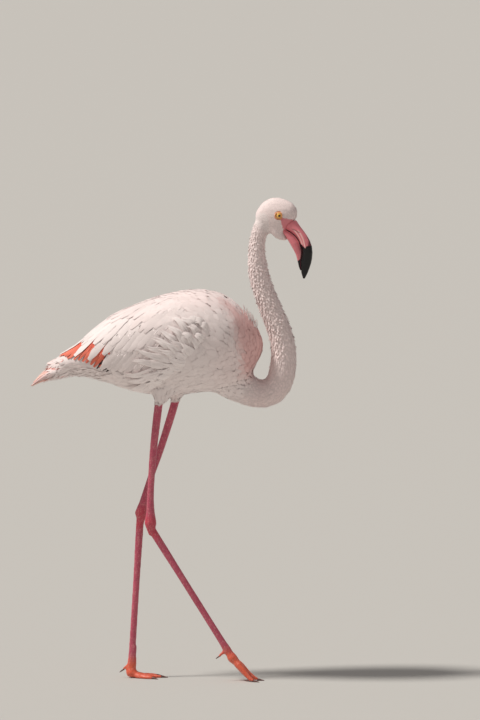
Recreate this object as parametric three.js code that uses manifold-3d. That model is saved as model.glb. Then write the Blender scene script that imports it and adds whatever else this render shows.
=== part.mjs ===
// Greater flamingo, an adult male in mid-stride: a still, life-size model in separate parts.
// Units are millimetres. +X is forward, +Y is the bird's left and +Z is up. The floor is z = 0,
// and the origin is on the floor under the middle of the whole bird.
import * as THREE from 'three';
import { mergeVertices } from 'three/addons/utils/BufferGeometryUtils.js';
import Module from 'manifold-3d';

const wasm = await Module();
wasm.setup();

// ---------------------------------------------------------------- driving sizes

const GAP = 0.35; // clearance left between two parts that meet
const DEGREE = Math.PI / 180;
const MERGE_DISTANCE = 1e-4;
const RING_CROWDING = 0.7; // how much closer a body's rings stand at its ends, from 0 to 1
const TANGENT_STEP = 0.004; // share of a line's length over which its direction is read

// The feathered body from tail to breast, as upright sections: x, top, bottom, half width.
// The first row lies behind the trunk and only shapes the tips of the folded wings.
const BODY_ROWS = [
  [-290, 711, 684, 22],
  [-250, 734, 683, 42],
  [-205, 763, 686, 60],
  [-160, 806, 676, 77],
  [-115, 832.5, 659, 88],
  [-70, 851.5, 647, 95],
  [-25, 867.5, 642, 99],
  [20, 878.5, 642, 100],
  [65, 884.5, 648, 99],
  [110, 879, 650, 93],
  [145, 862, 656, 82],
  [170, 836, 672, 68],
  [190, 812, 705, 50],
  [205, 795, 727, 32],
  [214, 770, 742, 13],
];
const TRUNK_REAR = -252;
const TRUNK_FRONT = 214;
const BODY_SQUARENESS = 0.92;

// A folded wing lies on the body: x, then the angles of its upper and lower edges from the top.
const WING_ROWS = [
  [150, 58, 90],
  [128, 36, 104],
  [75, 13, 115],
  [-10, 6, 122],
  [-90, 5, 127],
  [-150, 5, 128],
  [-195, 5, 112],
  [-235, 6, 82],
  [-262, 8, 58],
  [-282, 14, 36],
];
const WING_RISE = 3.5; // how far the wing's edges stand above the body
const WING_BULGE = 3; // and how much further its middle does
const WING_DEPTH = 11; // how far the wing is set into the trunk
const WING_TIP_DEPTH = 3.5;
const WING_TIPS = 6; // long feathers whose tips show along the lower edge
const WING_TIP_REACH = 4; // degrees by which each tip dips below the edge

// The tail, as upright sections: x, top, bottom, half width.
const TAIL_ROWS = [
  [-205, 722, 692, 38],
  [-245, 719, 680, 42],
  [-268, 713, 676, 42],
  [-285, 702, 675, 40],
  [-302, 684, 670, 33],
  [-312, 671, 664, 25],
  [-317.8, 664, 660, 19],
];

// The neck's middle line: x, y, z, then half its thickness fore and aft and sideways.
const NECK_ROWS = [
  [92, 0, 719, 60, 58],
  [122, 0, 692, 52, 50],
  [151, 0, 668.5, 43.5, 42],
  [178, 0, 652.5, 36, 34],
  [205, 0, 645.8, 33, 30],
  [228, 0, 652.5, 32.6, 29],
  [243, 0, 671, 32, 28.5],
  [252.5, 0, 715, 31, 28],
  [249.5, 0, 759, 29.7, 27],
  [239, 0, 798, 28.8, 26],
  [214, -0.5, 858, 27, 24],
  [195.5, -1, 926, 23.4, 21],
  [192.5, -1.5, 962, 20.6, 19],
  [195, -2, 995, 19.6, 18],
  [203, -2, 1022, 19.6, 18],
  [216, -2, 1044, 19, 18],
];
const NECK_LENGTHS = [
  { name: 'neck_lower', from: 0, to: 0.39, along: 11 },
  { name: 'neck_middle', from: 0.39, to: 0.71, along: 7 },
  { name: 'neck_upper', from: 0.71, to: 1, along: 8 },
];

// The head before it is turned, as upright sections: x, top, bottom, half width.
const HEAD_ROWS = [
  [189.5, 1055, 1037, 8],
  [197, 1068, 1021, 17],
  [211, 1082.5, 1015, 22.5],
  [227, 1089.5, 1009, 25],
  [243, 1090.3, 1006, 25.5],
  [255, 1087, 1013, 24],
  [266, 1082.5, 1023, 21],
  [277, 1075, 1033.5, 16.5],
  [284.5, 1063.5, 1045, 8],
];
const HEAD_TURN = -12 * DEGREE; // the face looks a little to the bird's right
const HEAD_PIVOT = new THREE.Vector3(205, -2, 1030);

// Both halves of the bill, as a middle line in the head's own plane: x, y, z, then half its
// thickness fore and aft and sideways.
const UPPER_BILL_ROWS = [
  [256, 0, 1040, 13, 12],
  [268.5, 0, 1029.5, 16.5, 14],
  [281, 0, 1018.5, 12.4, 14],
  [293.5, 0, 1005, 10.6, 13.5],
  [301.5, 0, 992, 11.2, 13],
  [306.5, 0, 977.5, 12.2, 12.4],
  [307, 0, 961, 12.8, 11],
  [304, 0, 944.5, 13, 9],
  [302, 0, 930, 10.3, 6.8],
  [301, 0, 917.5, 6.4, 4.6],
  [300, 0, 907.5, 2.2, 2],
];
const LOWER_BILL_ROWS = [
  [243, 0, 1020, 6, 12],
  [252, 0, 1015, 5.5, 13.5],
  [264, 0, 1007, 8.4, 15.2],
  [274.5, 0, 996, 10.6, 16.2],
  [281, 0, 985, 10.8, 15.6],
  [285.5, 0, 973, 8.6, 13],
  [289.2, 0, 961.5, 7.2, 9.4],
  [289.8, 0, 948, 4.6, 6],
  [291.9, 0, 935, 3.4, 4.6],
  [293, 0, 925, 1.2, 2.4],
];
const CHIN_ROWS = [
  [209, 0, 1029, 12, 15],
  [236, 0, 1018, 14.6, 19],
  [254, 0, 1007.5, 10.5, 15],
  [261, 0, 1000, 4.5, 8],
];

const EYE = { x: 247, z: 1049.5, radius: 6.6, out: 20.8 };

// Each leg: the points of its middle line as x, distance from the middle plane, z.
const LEGS = [
  {
    name: 'right',
    side: -1,
    thigh: [[6, 40, 752], [-8, 42, 700], [-19, 41, 655], [-27, 39, 625]],
    shank: [[-24, 39, 650], [-28, 39, 622], [-39.5, 36, 521], [-46.5, 33, 408]],
    hock: [-46, 31.5, 347],
    joint: [137.5, 27, 52],
    toesFlat: 0,
    toeRun: 0.8,
  },
  {
    name: 'left',
    side: 1,
    thigh: [[22, 40, 752], [18, 42, 700], [12, 41, 656], [7.5, 39, 627]],
    shank: [[15, 39, 652], [8, 39, 624], [-22, 36, 527], [-60, 33, 412]],
    hock: [-70.5, 31.5, 363],
    joint: [-92, 27, 11.5],
    toesFlat: 1,
    toeRun: 0.95,
  },
];
const THIGH_HALVES = [[50, 30], [46, 32], [27, 23], [12.5, 12]];
const SHANK_HALVES = [[8, 7.5], [9, 7.6], [8.2, 6.6], [7.8, 6.4]];
// The hock swells out of the shank: where it starts to, then rows of drop, forward and half sizes.
const HOCK_START = { above: 34, half: 9.5, side: 7.6 };
const HOCK_ROWS = [
  [0, 0, 14, 11],
  [10.2, 1, 11.2, 9.4],
  [17, 1.5, 4.9, 4.4],
];
// The long lower leg, as shares of the way from hock to toe joint and half its thickness there.
const TARSUS_ROWS = [
  [0.01, 9],
  [0.1, 8.8],
  [0.25, 8.1],
  [0.75, 7.7],
  [0.93, 8.5],
  [1, 10.5],
];
const TARSUS_FLATNESS = 0.74; // its half width over its half thickness fore and aft
const FOOT_BALL = 12.5;

// The three front toes: turn from straight ahead (inner toes turn in), length and half sizes.
const TOES = [
  { name: 'inner', turn: -27, length: 61 },
  { name: 'middle', turn: 0, length: 76 },
  { name: 'outer', turn: 26, length: 70 },
];
const TOE = { base: 6, tip: 4, pad: 2.2, end: 0.7, breadth: 1.1, knuckle: 0.12 };
const TOE_SHARES = [0, 0.25, 0.5, 0.75, 0.93, 1];
const TOE_FALL = { raised: 0.88, flat: 0.5, steepness: 1.6 }; // shares by which a toe is down
const WEB = { thickness: 2.2, reach: 0.82, hollow: 0.2, root: 0.04 };
const CLAW = { length: 12, root: 5, half: 3, tip: 0.9, droop: 3.4, flatness: 0.8, lowest: 0.54 };
const HALLUX_RISE = 19; // how far up the leg the hind toe grows
// The hind toe behind and below its root, and its claw behind and below its tip, with half sizes.
const HALLUX_ROWS = [
  [4, 0, 4.4, 4.4],
  [12.8, 5.85, 3.5, 3.5],
  [20, 13, 2.8, 2.8],
];
const HIND_CLAW_ROWS = [
  [-4, -2.4, 2.1, 1.8],
  [2.8, 2, 1.8, 1.5],
  [7, 5.5, 0.72, 0.72],
];
const FLOOR = { size: 2000, depth: 60 };

// ---------------------------------------------------------------- finishes

const FINISHES = {
  plumage: { color: '#f1e4e1', roughness: 0.85, metalness: 0 },
  blush: { color: '#f3cfcb', roughness: 0.85, metalness: 0 },
  tailPink: { color: '#eba79c', roughness: 0.8, metalness: 0 },
  billPink: { color: '#dd7585', roughness: 0.4, metalness: 0 },
  billDark: { color: '#c25a6c', roughness: 0.35, metalness: 0 },
  eye: { color: '#e0912e', roughness: 0.1, metalness: 0 },
  legPink: { color: '#bf6670', roughness: 0.6, metalness: 0 },
  footCoral: { color: '#dd6c50', roughness: 0.6, metalness: 0 },
  claw: { color: '#4a3733', roughness: 0.5, metalness: 0 },
};

// ---------------------------------------------------------------- helpers

/** Reads rows of numbers as smooth functions of their first number. */
function smoothRows(rows) {
  const stations = rows.map((row) => row[0]);
  const values = rows.flatMap((row) => row.slice(1));
  const reader = new THREE.CubicInterpolant(stations, values, rows[0].length - 1);
  return (station) => Array.from(reader.evaluate(station));
}

/** Rounds (power 1) or squares off (power below 1) a point of the unit circle's coordinate. */
function squared(value, power) {
  return Math.sign(value) * Math.abs(value) ** power;
}

/** Moves every vertex of a shape to the spot that place(x, y, z) gives for it. */
function reshaped(shape, place) {
  const bare = shape.clone();
  bare.deleteAttribute('normal');
  bare.deleteAttribute('uv');
  const welded = mergeVertices(bare, MERGE_DISTANCE);
  const points = welded.attributes.position;
  for (let index = 0; index < points.count; index += 1) {
    const spot = place(points.getX(index), points.getY(index), points.getZ(index));
    points.setXYZ(index, spot.x, spot.y, spot.z);
  }
  return welded;
}

/** Bends a closed unit cylinder: place(along, across, up) gives the spot of each vertex. */
function bentRod(around, along, place) {
  const rod = new THREE.CylinderGeometry(1, 1, 1, around, along);
  return reshaped(rod, (x, y, z) => place(0.5 - y, x, z));
}

/** Bends a closed unit plate: place(along, across, up) with across and up from -1 to 1. */
function bentPlate(along, across, place) {
  const plate = new THREE.BoxGeometry(1, 1, 1, along, across, 1);
  return reshaped(plate, (x, y, z) => place(x + 0.5, 2 * y, 2 * z));
}

/** A body in upright sections between two x positions, with its rings closer at both ends. */
function uprightBody(rows, { around, along, from, to, power = 1, grow = 0 }) {
  const read = smoothRows(rows[0][0] < rows[1][0] ? rows : [...rows].reverse());
  return bentRod(around, along, (t, across, up) => {
    const eased = (1 - Math.cos(Math.PI * t)) / 2;
    const x = THREE.MathUtils.lerp(from, to, THREE.MathUtils.lerp(t, eased, RING_CROWDING));
    const [top, bottom, half] = read(x);
    const end = Math.sign(to - from) * ((t === 1) - (t === 0)) * grow;
    return new THREE.Vector3(
      x + end,
      squared(across, power) * (half + grow) * Math.sign(to - from),
      (top + bottom) / 2 + squared(up, power) * ((top - bottom) / 2 + grow),
    );
  });
}

/** Puts before each row the way walked along the rows' points up to it. */
function paced(rows) {
  let walked = 0;
  return rows.map((row, index) => {
    if (index > 0) {
      const last = rows[index - 1];
      walked += Math.hypot(row[0] - last[0], row[1] - last[1], row[2] - last[2]);
    }
    return [walked, ...row];
  });
}

/** A round body along rows of x, y, z, half thickness fore and aft, half thickness sideways. */
function tube(rows, { around, along, from = 0, to = 1, grow = 0 }) {
  const stations = paced(rows);
  const whole = stations.at(-1)[0];
  const read = smoothRows(stations);
  const centre = (share) => {
    const [x, y, z] = read(share * whole);
    return new THREE.Vector3(x, y, z);
  };
  return bentRod(around, along, (t, across, up) => {
    const share = THREE.MathUtils.lerp(from, to, t);
    const [, , , half, side] = read(share * whole);
    const tangent = centre(Math.min(share + TANGENT_STEP, 1));
    tangent.sub(centre(Math.max(share - TANGENT_STEP, 0))).normalize();
    const sideways = new THREE.Vector3(0, 1, 0).addScaledVector(tangent, -tangent.y).normalize();
    const upward = tangent.clone().cross(sideways);
    return centre(share)
      .addScaledVector(tangent, ((t === 1) - (t === 0)) * grow)
      .addScaledVector(sideways, across * (side + grow))
      .addScaledVector(upward, up * (half + grow));
  });
}

/** The same body on the other side of the middle plane. */
function mirrored(geometry) {
  const twin = geometry.clone();
  twin.applyMatrix4(new THREE.Matrix4().makeScale(1, -1, 1));
  const corners = twin.index.array;
  for (let index = 0; index < corners.length; index += 3) {
    [corners[index], corners[index + 1]] = [corners[index + 1], corners[index]];
  }
  return twin;
}

/** A solid for cutting and joining, from a closed geometry. */
function solidOf(geometry) {
  const shape = geometry.clone();
  shape.deleteAttribute('normal');
  shape.deleteAttribute('uv');
  const welded = mergeVertices(shape, MERGE_DISTANCE);
  return new wasm.Manifold(new wasm.Mesh({
    numProp: 3,
    vertProperties: new Float32Array(welded.attributes.position.array),
    triVerts: new Uint32Array(welded.index.array),
  }));
}

/** The geometry of a solid after its cuts. */
function geometryOf(solid) {
  const { vertProperties, triVerts } = solid.getMesh();
  const geometry = new THREE.BufferGeometry();
  geometry.setAttribute('position', new THREE.BufferAttribute(vertProperties, 3));
  geometry.setIndex(new THREE.BufferAttribute(triVerts, 1));
  geometry.computeVertexNormals();
  return geometry;
}

/** Cuts every cutter out of a body. */
function carved(body, cutters) {
  return geometryOf(cutters.reduce((rest, cutter) => rest.subtract(solidOf(cutter)), solidOf(body)));
}

/** Joins overlapping bodies to one. */
function joined(bodies) {
  return geometryOf(bodies.map(solidOf).reduce((whole, body) => whole.add(body)));
}

/** A named part with its own material. */
function part(name, geometry, finish) {
  const mesh = new THREE.Mesh(geometry, new THREE.MeshStandardMaterial(finish));
  mesh.name = name;
  return mesh;
}

// ---------------------------------------------------------------- trunk, wings and tail

/** The trunk from the tail's root to the breast. */
function trunkBody() {
  return uprightBody(BODY_ROWS, {
    around: 20, along: 14, from: TRUNK_REAR, to: TRUNK_FRONT, power: BODY_SQUARENESS,
  });
}

/** The right wing: a curved plate on the body's side, from the shoulder back to its tip. */
function wingBody(grow) {
  const readBody = smoothRows(BODY_ROWS);
  const readEdges = smoothRows([...WING_ROWS].reverse());
  const shoulder = WING_ROWS[0][0];
  const tip = WING_ROWS.at(-1)[0];
  return bentPlate(WING_TIPS * 2, 6, (t, across, up) => {
    const x = THREE.MathUtils.lerp(shoulder + grow, tip - grow, t);
    const [top, bottom, half] = readBody(x);
    const [upper, lower] = readEdges(x);
    const dip = WING_TIP_REACH * Math.abs(Math.sin(Math.PI * WING_TIPS * t)) * Math.min(1, 2 * t);
    const height = (top - bottom) / 2;
    const angle = THREE.MathUtils.lerp(upper, lower + dip, (1 + across) / 2) * DEGREE;
    const turn = angle + across * 2 * grow / Math.min(half, height);
    const rise = WING_RISE + WING_BULGE * (1 - across * across) * Math.sin(Math.PI * t);
    const depth = THREE.MathUtils.lerp(WING_DEPTH, WING_TIP_DEPTH, t ** 3);
    const lift = up > 0 ? rise + grow : -depth - grow;
    return new THREE.Vector3(
      x,
      -squared(Math.sin(turn), BODY_SQUARENESS) * (half + lift),
      (top + bottom) / 2 + squared(Math.cos(turn), BODY_SQUARENESS) * (height + lift),
    );
  });
}

/** The short pointed tail with the feathers that cover its root. */
function tailBody(grow) {
  return uprightBody(TAIL_ROWS, {
    around: 12, along: 6, from: TAIL_ROWS[0][0], to: TAIL_ROWS.at(-1)[0], grow,
  });
}

// ---------------------------------------------------------------- neck, head, bill and eyes

/** One length of the neck; lengths stand a gap apart. */
function neckBody({ from, to, along }, grow) {
  const inset = GAP / 2 / paced(NECK_ROWS).at(-1)[0];
  return tube(NECK_ROWS, { around: 16, along, from: from + inset, to: to - inset, grow });
}

/** The feathered head with its chin. */
function headBody(grow) {
  const chin = tube(CHIN_ROWS, { around: 8, along: 4, grow });
  const skull = uprightBody(HEAD_ROWS, {
    around: 16, along: 11, from: HEAD_ROWS[0][0], to: HEAD_ROWS.at(-1)[0], grow,
  });
  return joined([skull, chin]);
}

/** An eyeball, as large as shows between the lids. */
function eyeBody(side, grow) {
  const ball = new THREE.SphereGeometry(EYE.radius + grow, 10, 7);
  ball.rotateX(Math.PI / 2);
  ball.translate(EYE.x, side * EYE.out, EYE.z);
  return ball;
}

/** The head, bill and eyes in one group that is turned on the neck. */
function headGroup() {
  const upper = (grow) => tube(UPPER_BILL_ROWS, { around: 12, along: 13, grow });
  const lower = (grow) => tube(LOWER_BILL_ROWS, { around: 12, along: 9, grow });
  const eyes = [eyeBody(-1, GAP), eyeBody(1, GAP)];
  const group = new THREE.Group();
  group.add(part('head', carved(headBody(0), eyes), FINISHES.plumage));
  group.add(part('bill_upper', carved(upper(0), [headBody(GAP)]), FINISHES.billPink));
  group.add(part('bill_lower', carved(lower(0), [headBody(GAP), upper(GAP)]), FINISHES.billDark));
  group.add(part('eye_right', eyeBody(-1, 0), FINISHES.eye));
  group.add(part('eye_left', eyeBody(1, 0), FINISHES.eye));
  group.applyMatrix4(headPose());
  return group;
}

/** The turn of the head on the neck. */
function headPose() {
  return new THREE.Matrix4()
    .makeTranslation(HEAD_PIVOT)
    .multiply(new THREE.Matrix4().makeRotationZ(HEAD_TURN))
    .multiply(new THREE.Matrix4().makeTranslation(HEAD_PIVOT.clone().negate()));
}

// ---------------------------------------------------------------- legs and feet

/** Puts a leg's point on its own side of the middle plane. */
function sided(leg, [x, out, z], ...sizes) {
  return [x, leg.side * out, z, ...sizes];
}

/** The feathered thigh that comes out of the belly. */
function thighBody(leg, grow) {
  const rows = leg.thigh.map((point, index) => sided(leg, point, ...THIGH_HALVES[index]));
  return tube(rows, { around: 12, along: 5, grow });
}

/** The bare shank with the swelling of the hock at its lower end. */
function shankBody(leg, grow) {
  const rows = leg.shank.map((point, index) => sided(leg, point, ...SHANK_HALVES[index]));
  const [x, out, z] = leg.hock;
  const [lastX, lastOut, lastZ] = leg.shank.at(-1);
  const lean = (lastX - x) / (lastZ - z);
  const start = [x + lean * HOCK_START.above, (out + lastOut) / 2, z + HOCK_START.above];
  rows.push(sided(leg, start, HOCK_START.half, HOCK_START.side));
  for (const [drop, forward, half, side] of HOCK_ROWS) {
    rows.push(sided(leg, [x + forward, out, z - drop], half, side));
  }
  return tube(rows, { around: 12, along: 12, grow });
}

/** The long lower leg between the hock and the toes. */
function tarsusBody(leg) {
  const hock = new THREE.Vector3(...sided(leg, leg.hock));
  const joint = new THREE.Vector3(...sided(leg, leg.joint));
  const rows = TARSUS_ROWS.map(([share, half]) => {
    const spot = hock.clone().lerp(joint, share);
    return [...spot, half, half * TARSUS_FLATNESS];
  });
  return tube(rows, { around: 8, along: 8 });
}

/** The middle line of a toe: a function from 0 at the toe joint to 1 at the tip. */
function toeLine(leg, toe) {
  const joint = new THREE.Vector3(...sided(leg, leg.joint));
  const turn = toe.turn * DEGREE * leg.side;
  const run = toe.length * leg.toeRun;
  return (share) => {
    const straight = Math.max(0, 1 - share / TOE_FALL.raised);
    const curved = (1 - Math.min(1, share / TOE_FALL.flat)) ** TOE_FALL.steepness;
    const fall = THREE.MathUtils.lerp(straight, curved, leg.toesFlat);
    return new THREE.Vector3(
      joint.x + Math.cos(turn) * run * share,
      joint.y + Math.sin(turn) * run * share,
      TOE.pad + (joint.z - TOE.pad) * fall,
    );
  };
}

/** A toe with its knuckles, up to the root of its claw. */
function toeBody(leg, toe) {
  const line = toeLine(leg, toe);
  const rows = TOE_SHARES.map((share, index) => {
    const knuckle = 1 + TOE.knuckle * (index % 2);
    const half = THREE.MathUtils.lerp(TOE.base, TOE.tip, share) * knuckle;
    const size = share === 1 ? half * TOE.end : half;
    return [...line(share), size, size * TOE.breadth];
  });
  return tube(rows, { around: 6, along: 6 });
}

/** The web between two toes, hollowed along its front edge. */
function webBody(leg, first, second) {
  const lines = [toeLine(leg, first), toeLine(leg, second)];
  return bentPlate(4, 3, (t, across, up) => {
    const share = (1 + leg.side * across) / 2;
    const reach = WEB.reach - WEB.hollow * 4 * share * (1 - share);
    const along = THREE.MathUtils.lerp(WEB.root, reach, t);
    const spot = lines[0](along).lerp(lines[1](along), share);
    spot.z += up * WEB.thickness / 2;
    return spot;
  });
}

/** The claw of a front toe, which bends down to the floor. */
function clawBody(leg, toe, grow) {
  const line = toeLine(leg, toe);
  const tip = line(1);
  const heading = tip.clone().sub(line(TOE_SHARES.at(-2))).normalize();
  const rows = [-CLAW.root, 0, CLAW.length * 0.6, CLAW.length].map((ahead) => {
    const share = Math.max(0, ahead) / CLAW.length;
    const spot = tip.clone().addScaledVector(heading, ahead);
    spot.z = Math.max(spot.z - CLAW.droop * share * share, CLAW.lowest);
    const half = THREE.MathUtils.lerp(CLAW.half, CLAW.tip, share);
    return [...spot, half, half * CLAW.flatness];
  });
  return tube(rows, { around: 6, along: 3, grow });
}

/** Rows of a body that hangs behind a point: behind, below and half sizes become tube rows. */
function behind(point, rows) {
  return rows.map(([back, below, half, side]) => [point.x - back, point.y, point.z - below, half, side]);
}

/** Where the short hind toe grows, a little up the back of the leg. */
function halluxRoot(leg) {
  const joint = new THREE.Vector3(...sided(leg, leg.joint));
  const hock = new THREE.Vector3(...sided(leg, leg.hock));
  return joint.clone().add(hock.sub(joint).setLength(HALLUX_RISE));
}

/** The short hind toe, carried clear of the floor. */
function halluxBody(leg) {
  return tube(behind(halluxRoot(leg), HALLUX_ROWS), { around: 6, along: 3 });
}

/** The hind toe's claw. */
function halluxClaw(leg, grow) {
  const [back, below] = HALLUX_ROWS.at(-1);
  const tip = halluxRoot(leg).add(new THREE.Vector3(-back, 0, -below));
  return tube(behind(tip, HIND_CLAW_ROWS), { around: 6, along: 3, grow });
}

/** The floor, as a block to trim the feet flat with. */
function floorBlock() {
  const block = new THREE.BoxGeometry(FLOOR.size, FLOOR.size, FLOOR.depth);
  block.translate(0, 0, -FLOOR.depth / 2);
  return block;
}

/** The round joint that the toes grow from. */
function footBall(leg, grow) {
  const ball = new THREE.SphereGeometry(FOOT_BALL + grow, 10, 6);
  ball.translate(...sided(leg, leg.joint));
  return ball;
}

/** The foot of a leg: three webbed toes, without their claws. */
function footBody(leg) {
  const webs = [webBody(leg, TOES[0], TOES[1]), webBody(leg, TOES[1], TOES[2])];
  const toes = TOES.map((toe) => toeBody(leg, toe));
  return joined([footBall(leg, 0), ...toes, ...webs]);
}

/** All the parts of one leg. */
function legParts(leg) {
  const wing = leg.side < 0 ? wingBody(GAP) : mirrored(wingBody(GAP));
  const foot = carved(footBody(leg),
    [floorBlock(), ...TOES.map((toe) => clawBody(leg, toe, GAP))]);
  const tarsus = carved(joined([tarsusBody(leg), halluxBody(leg)]),
    [shankBody(leg, GAP), footBall(leg, GAP), halluxClaw(leg, GAP)]);
  return [
    part(`thigh_${leg.name}`, carved(thighBody(leg, 0), [shankBody(leg, GAP), wing]), FINISHES.plumage),
    part(`shank_${leg.name}`, shankBody(leg, 0), FINISHES.legPink),
    part(`tarsus_${leg.name}`, tarsus, FINISHES.legPink),
    part(`foot_${leg.name}`, foot, FINISHES.footCoral),
    ...TOES.map((toe) => part(`claw_${toe.name}_${leg.name}`,
      carved(clawBody(leg, toe, 0), [floorBlock()]), FINISHES.claw)),
    part(`claw_hind_${leg.name}`, halluxClaw(leg, 0), FINISHES.claw),
  ];
}

// ---------------------------------------------------------------- the whole bird

const flamingo = new THREE.Group();
const wings = [wingBody(GAP), mirrored(wingBody(GAP))];
const head = headBody(GAP).applyMatrix4(headPose());
flamingo.add(part('trunk', carved(trunkBody(), [
  ...wings,
  tailBody(GAP),
  neckBody(NECK_LENGTHS[0], GAP),
  ...LEGS.map((leg) => thighBody(leg, GAP)),
]), FINISHES.plumage));
flamingo.add(part('wing_right', wingBody(0), FINISHES.blush));
flamingo.add(part('wing_left', mirrored(wingBody(0)), FINISHES.blush));
flamingo.add(part('tail', carved(tailBody(0), wings), FINISHES.tailPink));
for (const length of NECK_LENGTHS) {
  const whole = neckBody(length, 0);
  const shape = length.name === 'neck_upper' ? carved(whole, [head]) : whole;
  flamingo.add(part(length.name, shape, FINISHES.plumage));
}
flamingo.add(headGroup());
for (const leg of LEGS) {
  flamingo.add(...legParts(leg));
}

export default flamingo;
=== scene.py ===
"""A life-size greater flamingo: one skin, bill, eyes, claws and plumage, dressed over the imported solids."""

import sys
import logging
import math
from dataclasses import dataclass, field, replace
from enum import Enum
from itertools import product
from typing import Callable, Sequence

import bmesh
import bpy
import numpy as np
from mathutils import Matrix, Vector
from mathutils.bvhtree import BVHTree


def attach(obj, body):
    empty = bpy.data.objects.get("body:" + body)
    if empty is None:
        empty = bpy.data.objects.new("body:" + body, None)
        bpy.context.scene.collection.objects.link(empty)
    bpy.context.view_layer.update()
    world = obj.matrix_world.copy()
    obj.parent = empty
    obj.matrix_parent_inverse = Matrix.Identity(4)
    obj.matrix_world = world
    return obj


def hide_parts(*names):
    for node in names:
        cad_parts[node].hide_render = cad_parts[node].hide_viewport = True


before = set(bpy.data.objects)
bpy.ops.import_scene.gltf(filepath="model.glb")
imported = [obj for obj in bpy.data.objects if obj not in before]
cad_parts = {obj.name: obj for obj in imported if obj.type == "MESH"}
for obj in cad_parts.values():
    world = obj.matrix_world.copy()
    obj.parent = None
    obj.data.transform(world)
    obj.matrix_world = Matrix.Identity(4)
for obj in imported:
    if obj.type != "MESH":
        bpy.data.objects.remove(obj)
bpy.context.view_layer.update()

LOG = logging.getLogger("flamingo")
MM = 0.001
BODY = "root"
BAKE_MAP = "OFBake"
BAKE_PATCH = 0.003
Array = np.ndarray


# ---------------------------------------------------------------- small tools


def linear(code: str) -> tuple[float, float, float, float]:
    """Turns an sRGB hex colour into linear light.

    Args:
        code: the colour, such as "#f4e6e2".

    Returns:
        Linear red, green, blue and an alpha of 1.
    """
    parts = [int(code[i : i + 2], 16) / 255 for i in (1, 3, 5)]
    bent = [c / 12.92 if c <= 0.04045 else ((c + 0.055) / 1.055) ** 2.4 for c in parts]
    return (bent[0], bent[1], bent[2], 1.0)


def ease(low: float, high: float, value: Array | float) -> Array:
    """Rises smoothly from 0 at low to 1 at high, and falls where low is above high."""
    share = np.clip((np.asarray(value, float) - low) / (high - low), 0, 1)
    return share * share * (3 - 2 * share)


def unit(rows: Array) -> Array:
    """Scales every row vector to a length of 1."""
    return rows / np.maximum(np.linalg.norm(rows, axis=-1, keepdims=True), 1e-12)


def softened(rows: Array, samples: int, window: int) -> Array:
    """Resamples rows evenly over their number and rounds off their corners.

    Args:
        rows: numbers, a row for each station.
        samples: how many rows to give back.
        window: how many of the new rows are averaged, an odd number.

    Returns:
        The new rows.
    """
    even = np.linspace(0, len(rows) - 1, samples)
    flat = rows.reshape(len(rows), -1)
    fine = np.stack([np.interp(even, np.arange(len(rows)), column) for column in flat.T], 1)
    pad = window // 2
    wide = np.pad(fine, ((pad, pad), (0, 0)), mode="reflect", reflect_type="odd")
    kernel = np.ones(window) / window
    soft = np.stack([np.convolve(column, kernel, "valid") for column in wide.T], 1)
    return soft.reshape(samples, *rows.shape[1:])


def off_line(points: Array, line: Sequence[tuple[float, float]]) -> Array:
    """Measures how far points of a plane lie from a bent line.

    Args:
        points: two numbers for each point.
        line: the line's corners.

    Returns:
        One distance for each point.
    """
    best = np.full(len(points), 1e9)
    for start, end in zip(np.array(line, float)[:-1], np.array(line, float)[1:]):
        way = end - start
        t = np.clip(((points - start) @ way) / (way @ way), 0, 1)
        best = np.minimum(best, np.linalg.norm(points - start - t[:, None] * way, axis=1))
    return best


def add(
    tree: bpy.types.NodeTree, kind: str, props: dict | None = None, values: dict | None = None,
    links: dict | None = None,
) -> bpy.types.Node:
    """Adds one shader node with its settings and links.

    Args:
        tree: the material's node tree.
        kind: the node's type name.
        props: settings of the node itself.
        values: input name or number to a fixed value.
        links: input name or number to the output socket that feeds it.

    Returns:
        The new node.
    """
    node = tree.nodes.new(kind)
    for name, value in (props or {}).items():
        setattr(node, name, value)
    for name, value in (values or {}).items():
        node.inputs[name].default_value = value
    for name, socket in (links or {}).items():
        tree.links.new(socket, node.inputs[name])
    return node


def fresh(name: str) -> bpy.types.Material:
    """Makes an empty node material.

    Args:
        name: the material's name.

    Returns:
        The material.
    """
    material = bpy.data.materials.new(name)
    material.use_nodes = True
    material.node_tree.nodes.clear()
    return material


def finished(material: bpy.types.Material, shader: bpy.types.Node) -> bpy.types.Material:
    """Leads a shader to the material's output.

    Args:
        material: the material to close.
        shader: the node whose first output is the surface.

    Returns:
        The same material.
    """
    add(material.node_tree, "ShaderNodeOutputMaterial", links={"Surface": shader.outputs[0]})
    return material


def object_from(shape: bmesh.types.BMesh, name: str) -> bpy.types.Object:
    """Turns a bmesh into a smooth-shaded object at the origin and frees it.

    Args:
        shape: the finished shape.
        name: the piece's name.

    Returns:
        The linked object.
    """
    mesh = bpy.data.meshes.new(name)
    shape.to_mesh(mesh)
    shape.free()
    mesh.shade_smooth()
    made = bpy.data.objects.new(name, mesh)
    bpy.context.scene.collection.objects.link(made)
    return made


def applied(piece: bpy.types.Object) -> bpy.types.Object:
    """Replaces a piece's mesh by the one its modifiers make, and takes them off.

    Args:
        piece: an object with modifiers.

    Returns:
        The same object.
    """
    bpy.context.view_layer.update()
    made = bpy.data.meshes.new_from_object(piece.evaluated_get(bpy.context.evaluated_depsgraph_get()))
    piece.modifiers.clear()
    piece.data = made
    return piece


def points_of(piece: bpy.types.Object) -> tuple[Array, Array]:
    """Reads the vertices of a mesh.

    Args:
        piece: a mesh object.

    Returns:
        Its places and its normals, one row for each vertex.
    """
    count = len(piece.data.vertices)
    places = np.zeros(count * 3, np.float32)
    normals = np.zeros(count * 3, np.float32)
    piece.data.vertices.foreach_get("co", places)
    piece.data.vertex_normals.foreach_get("vector", normals)
    return places.reshape(-1, 3).astype(float), normals.reshape(-1, 3).astype(float)


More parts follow.
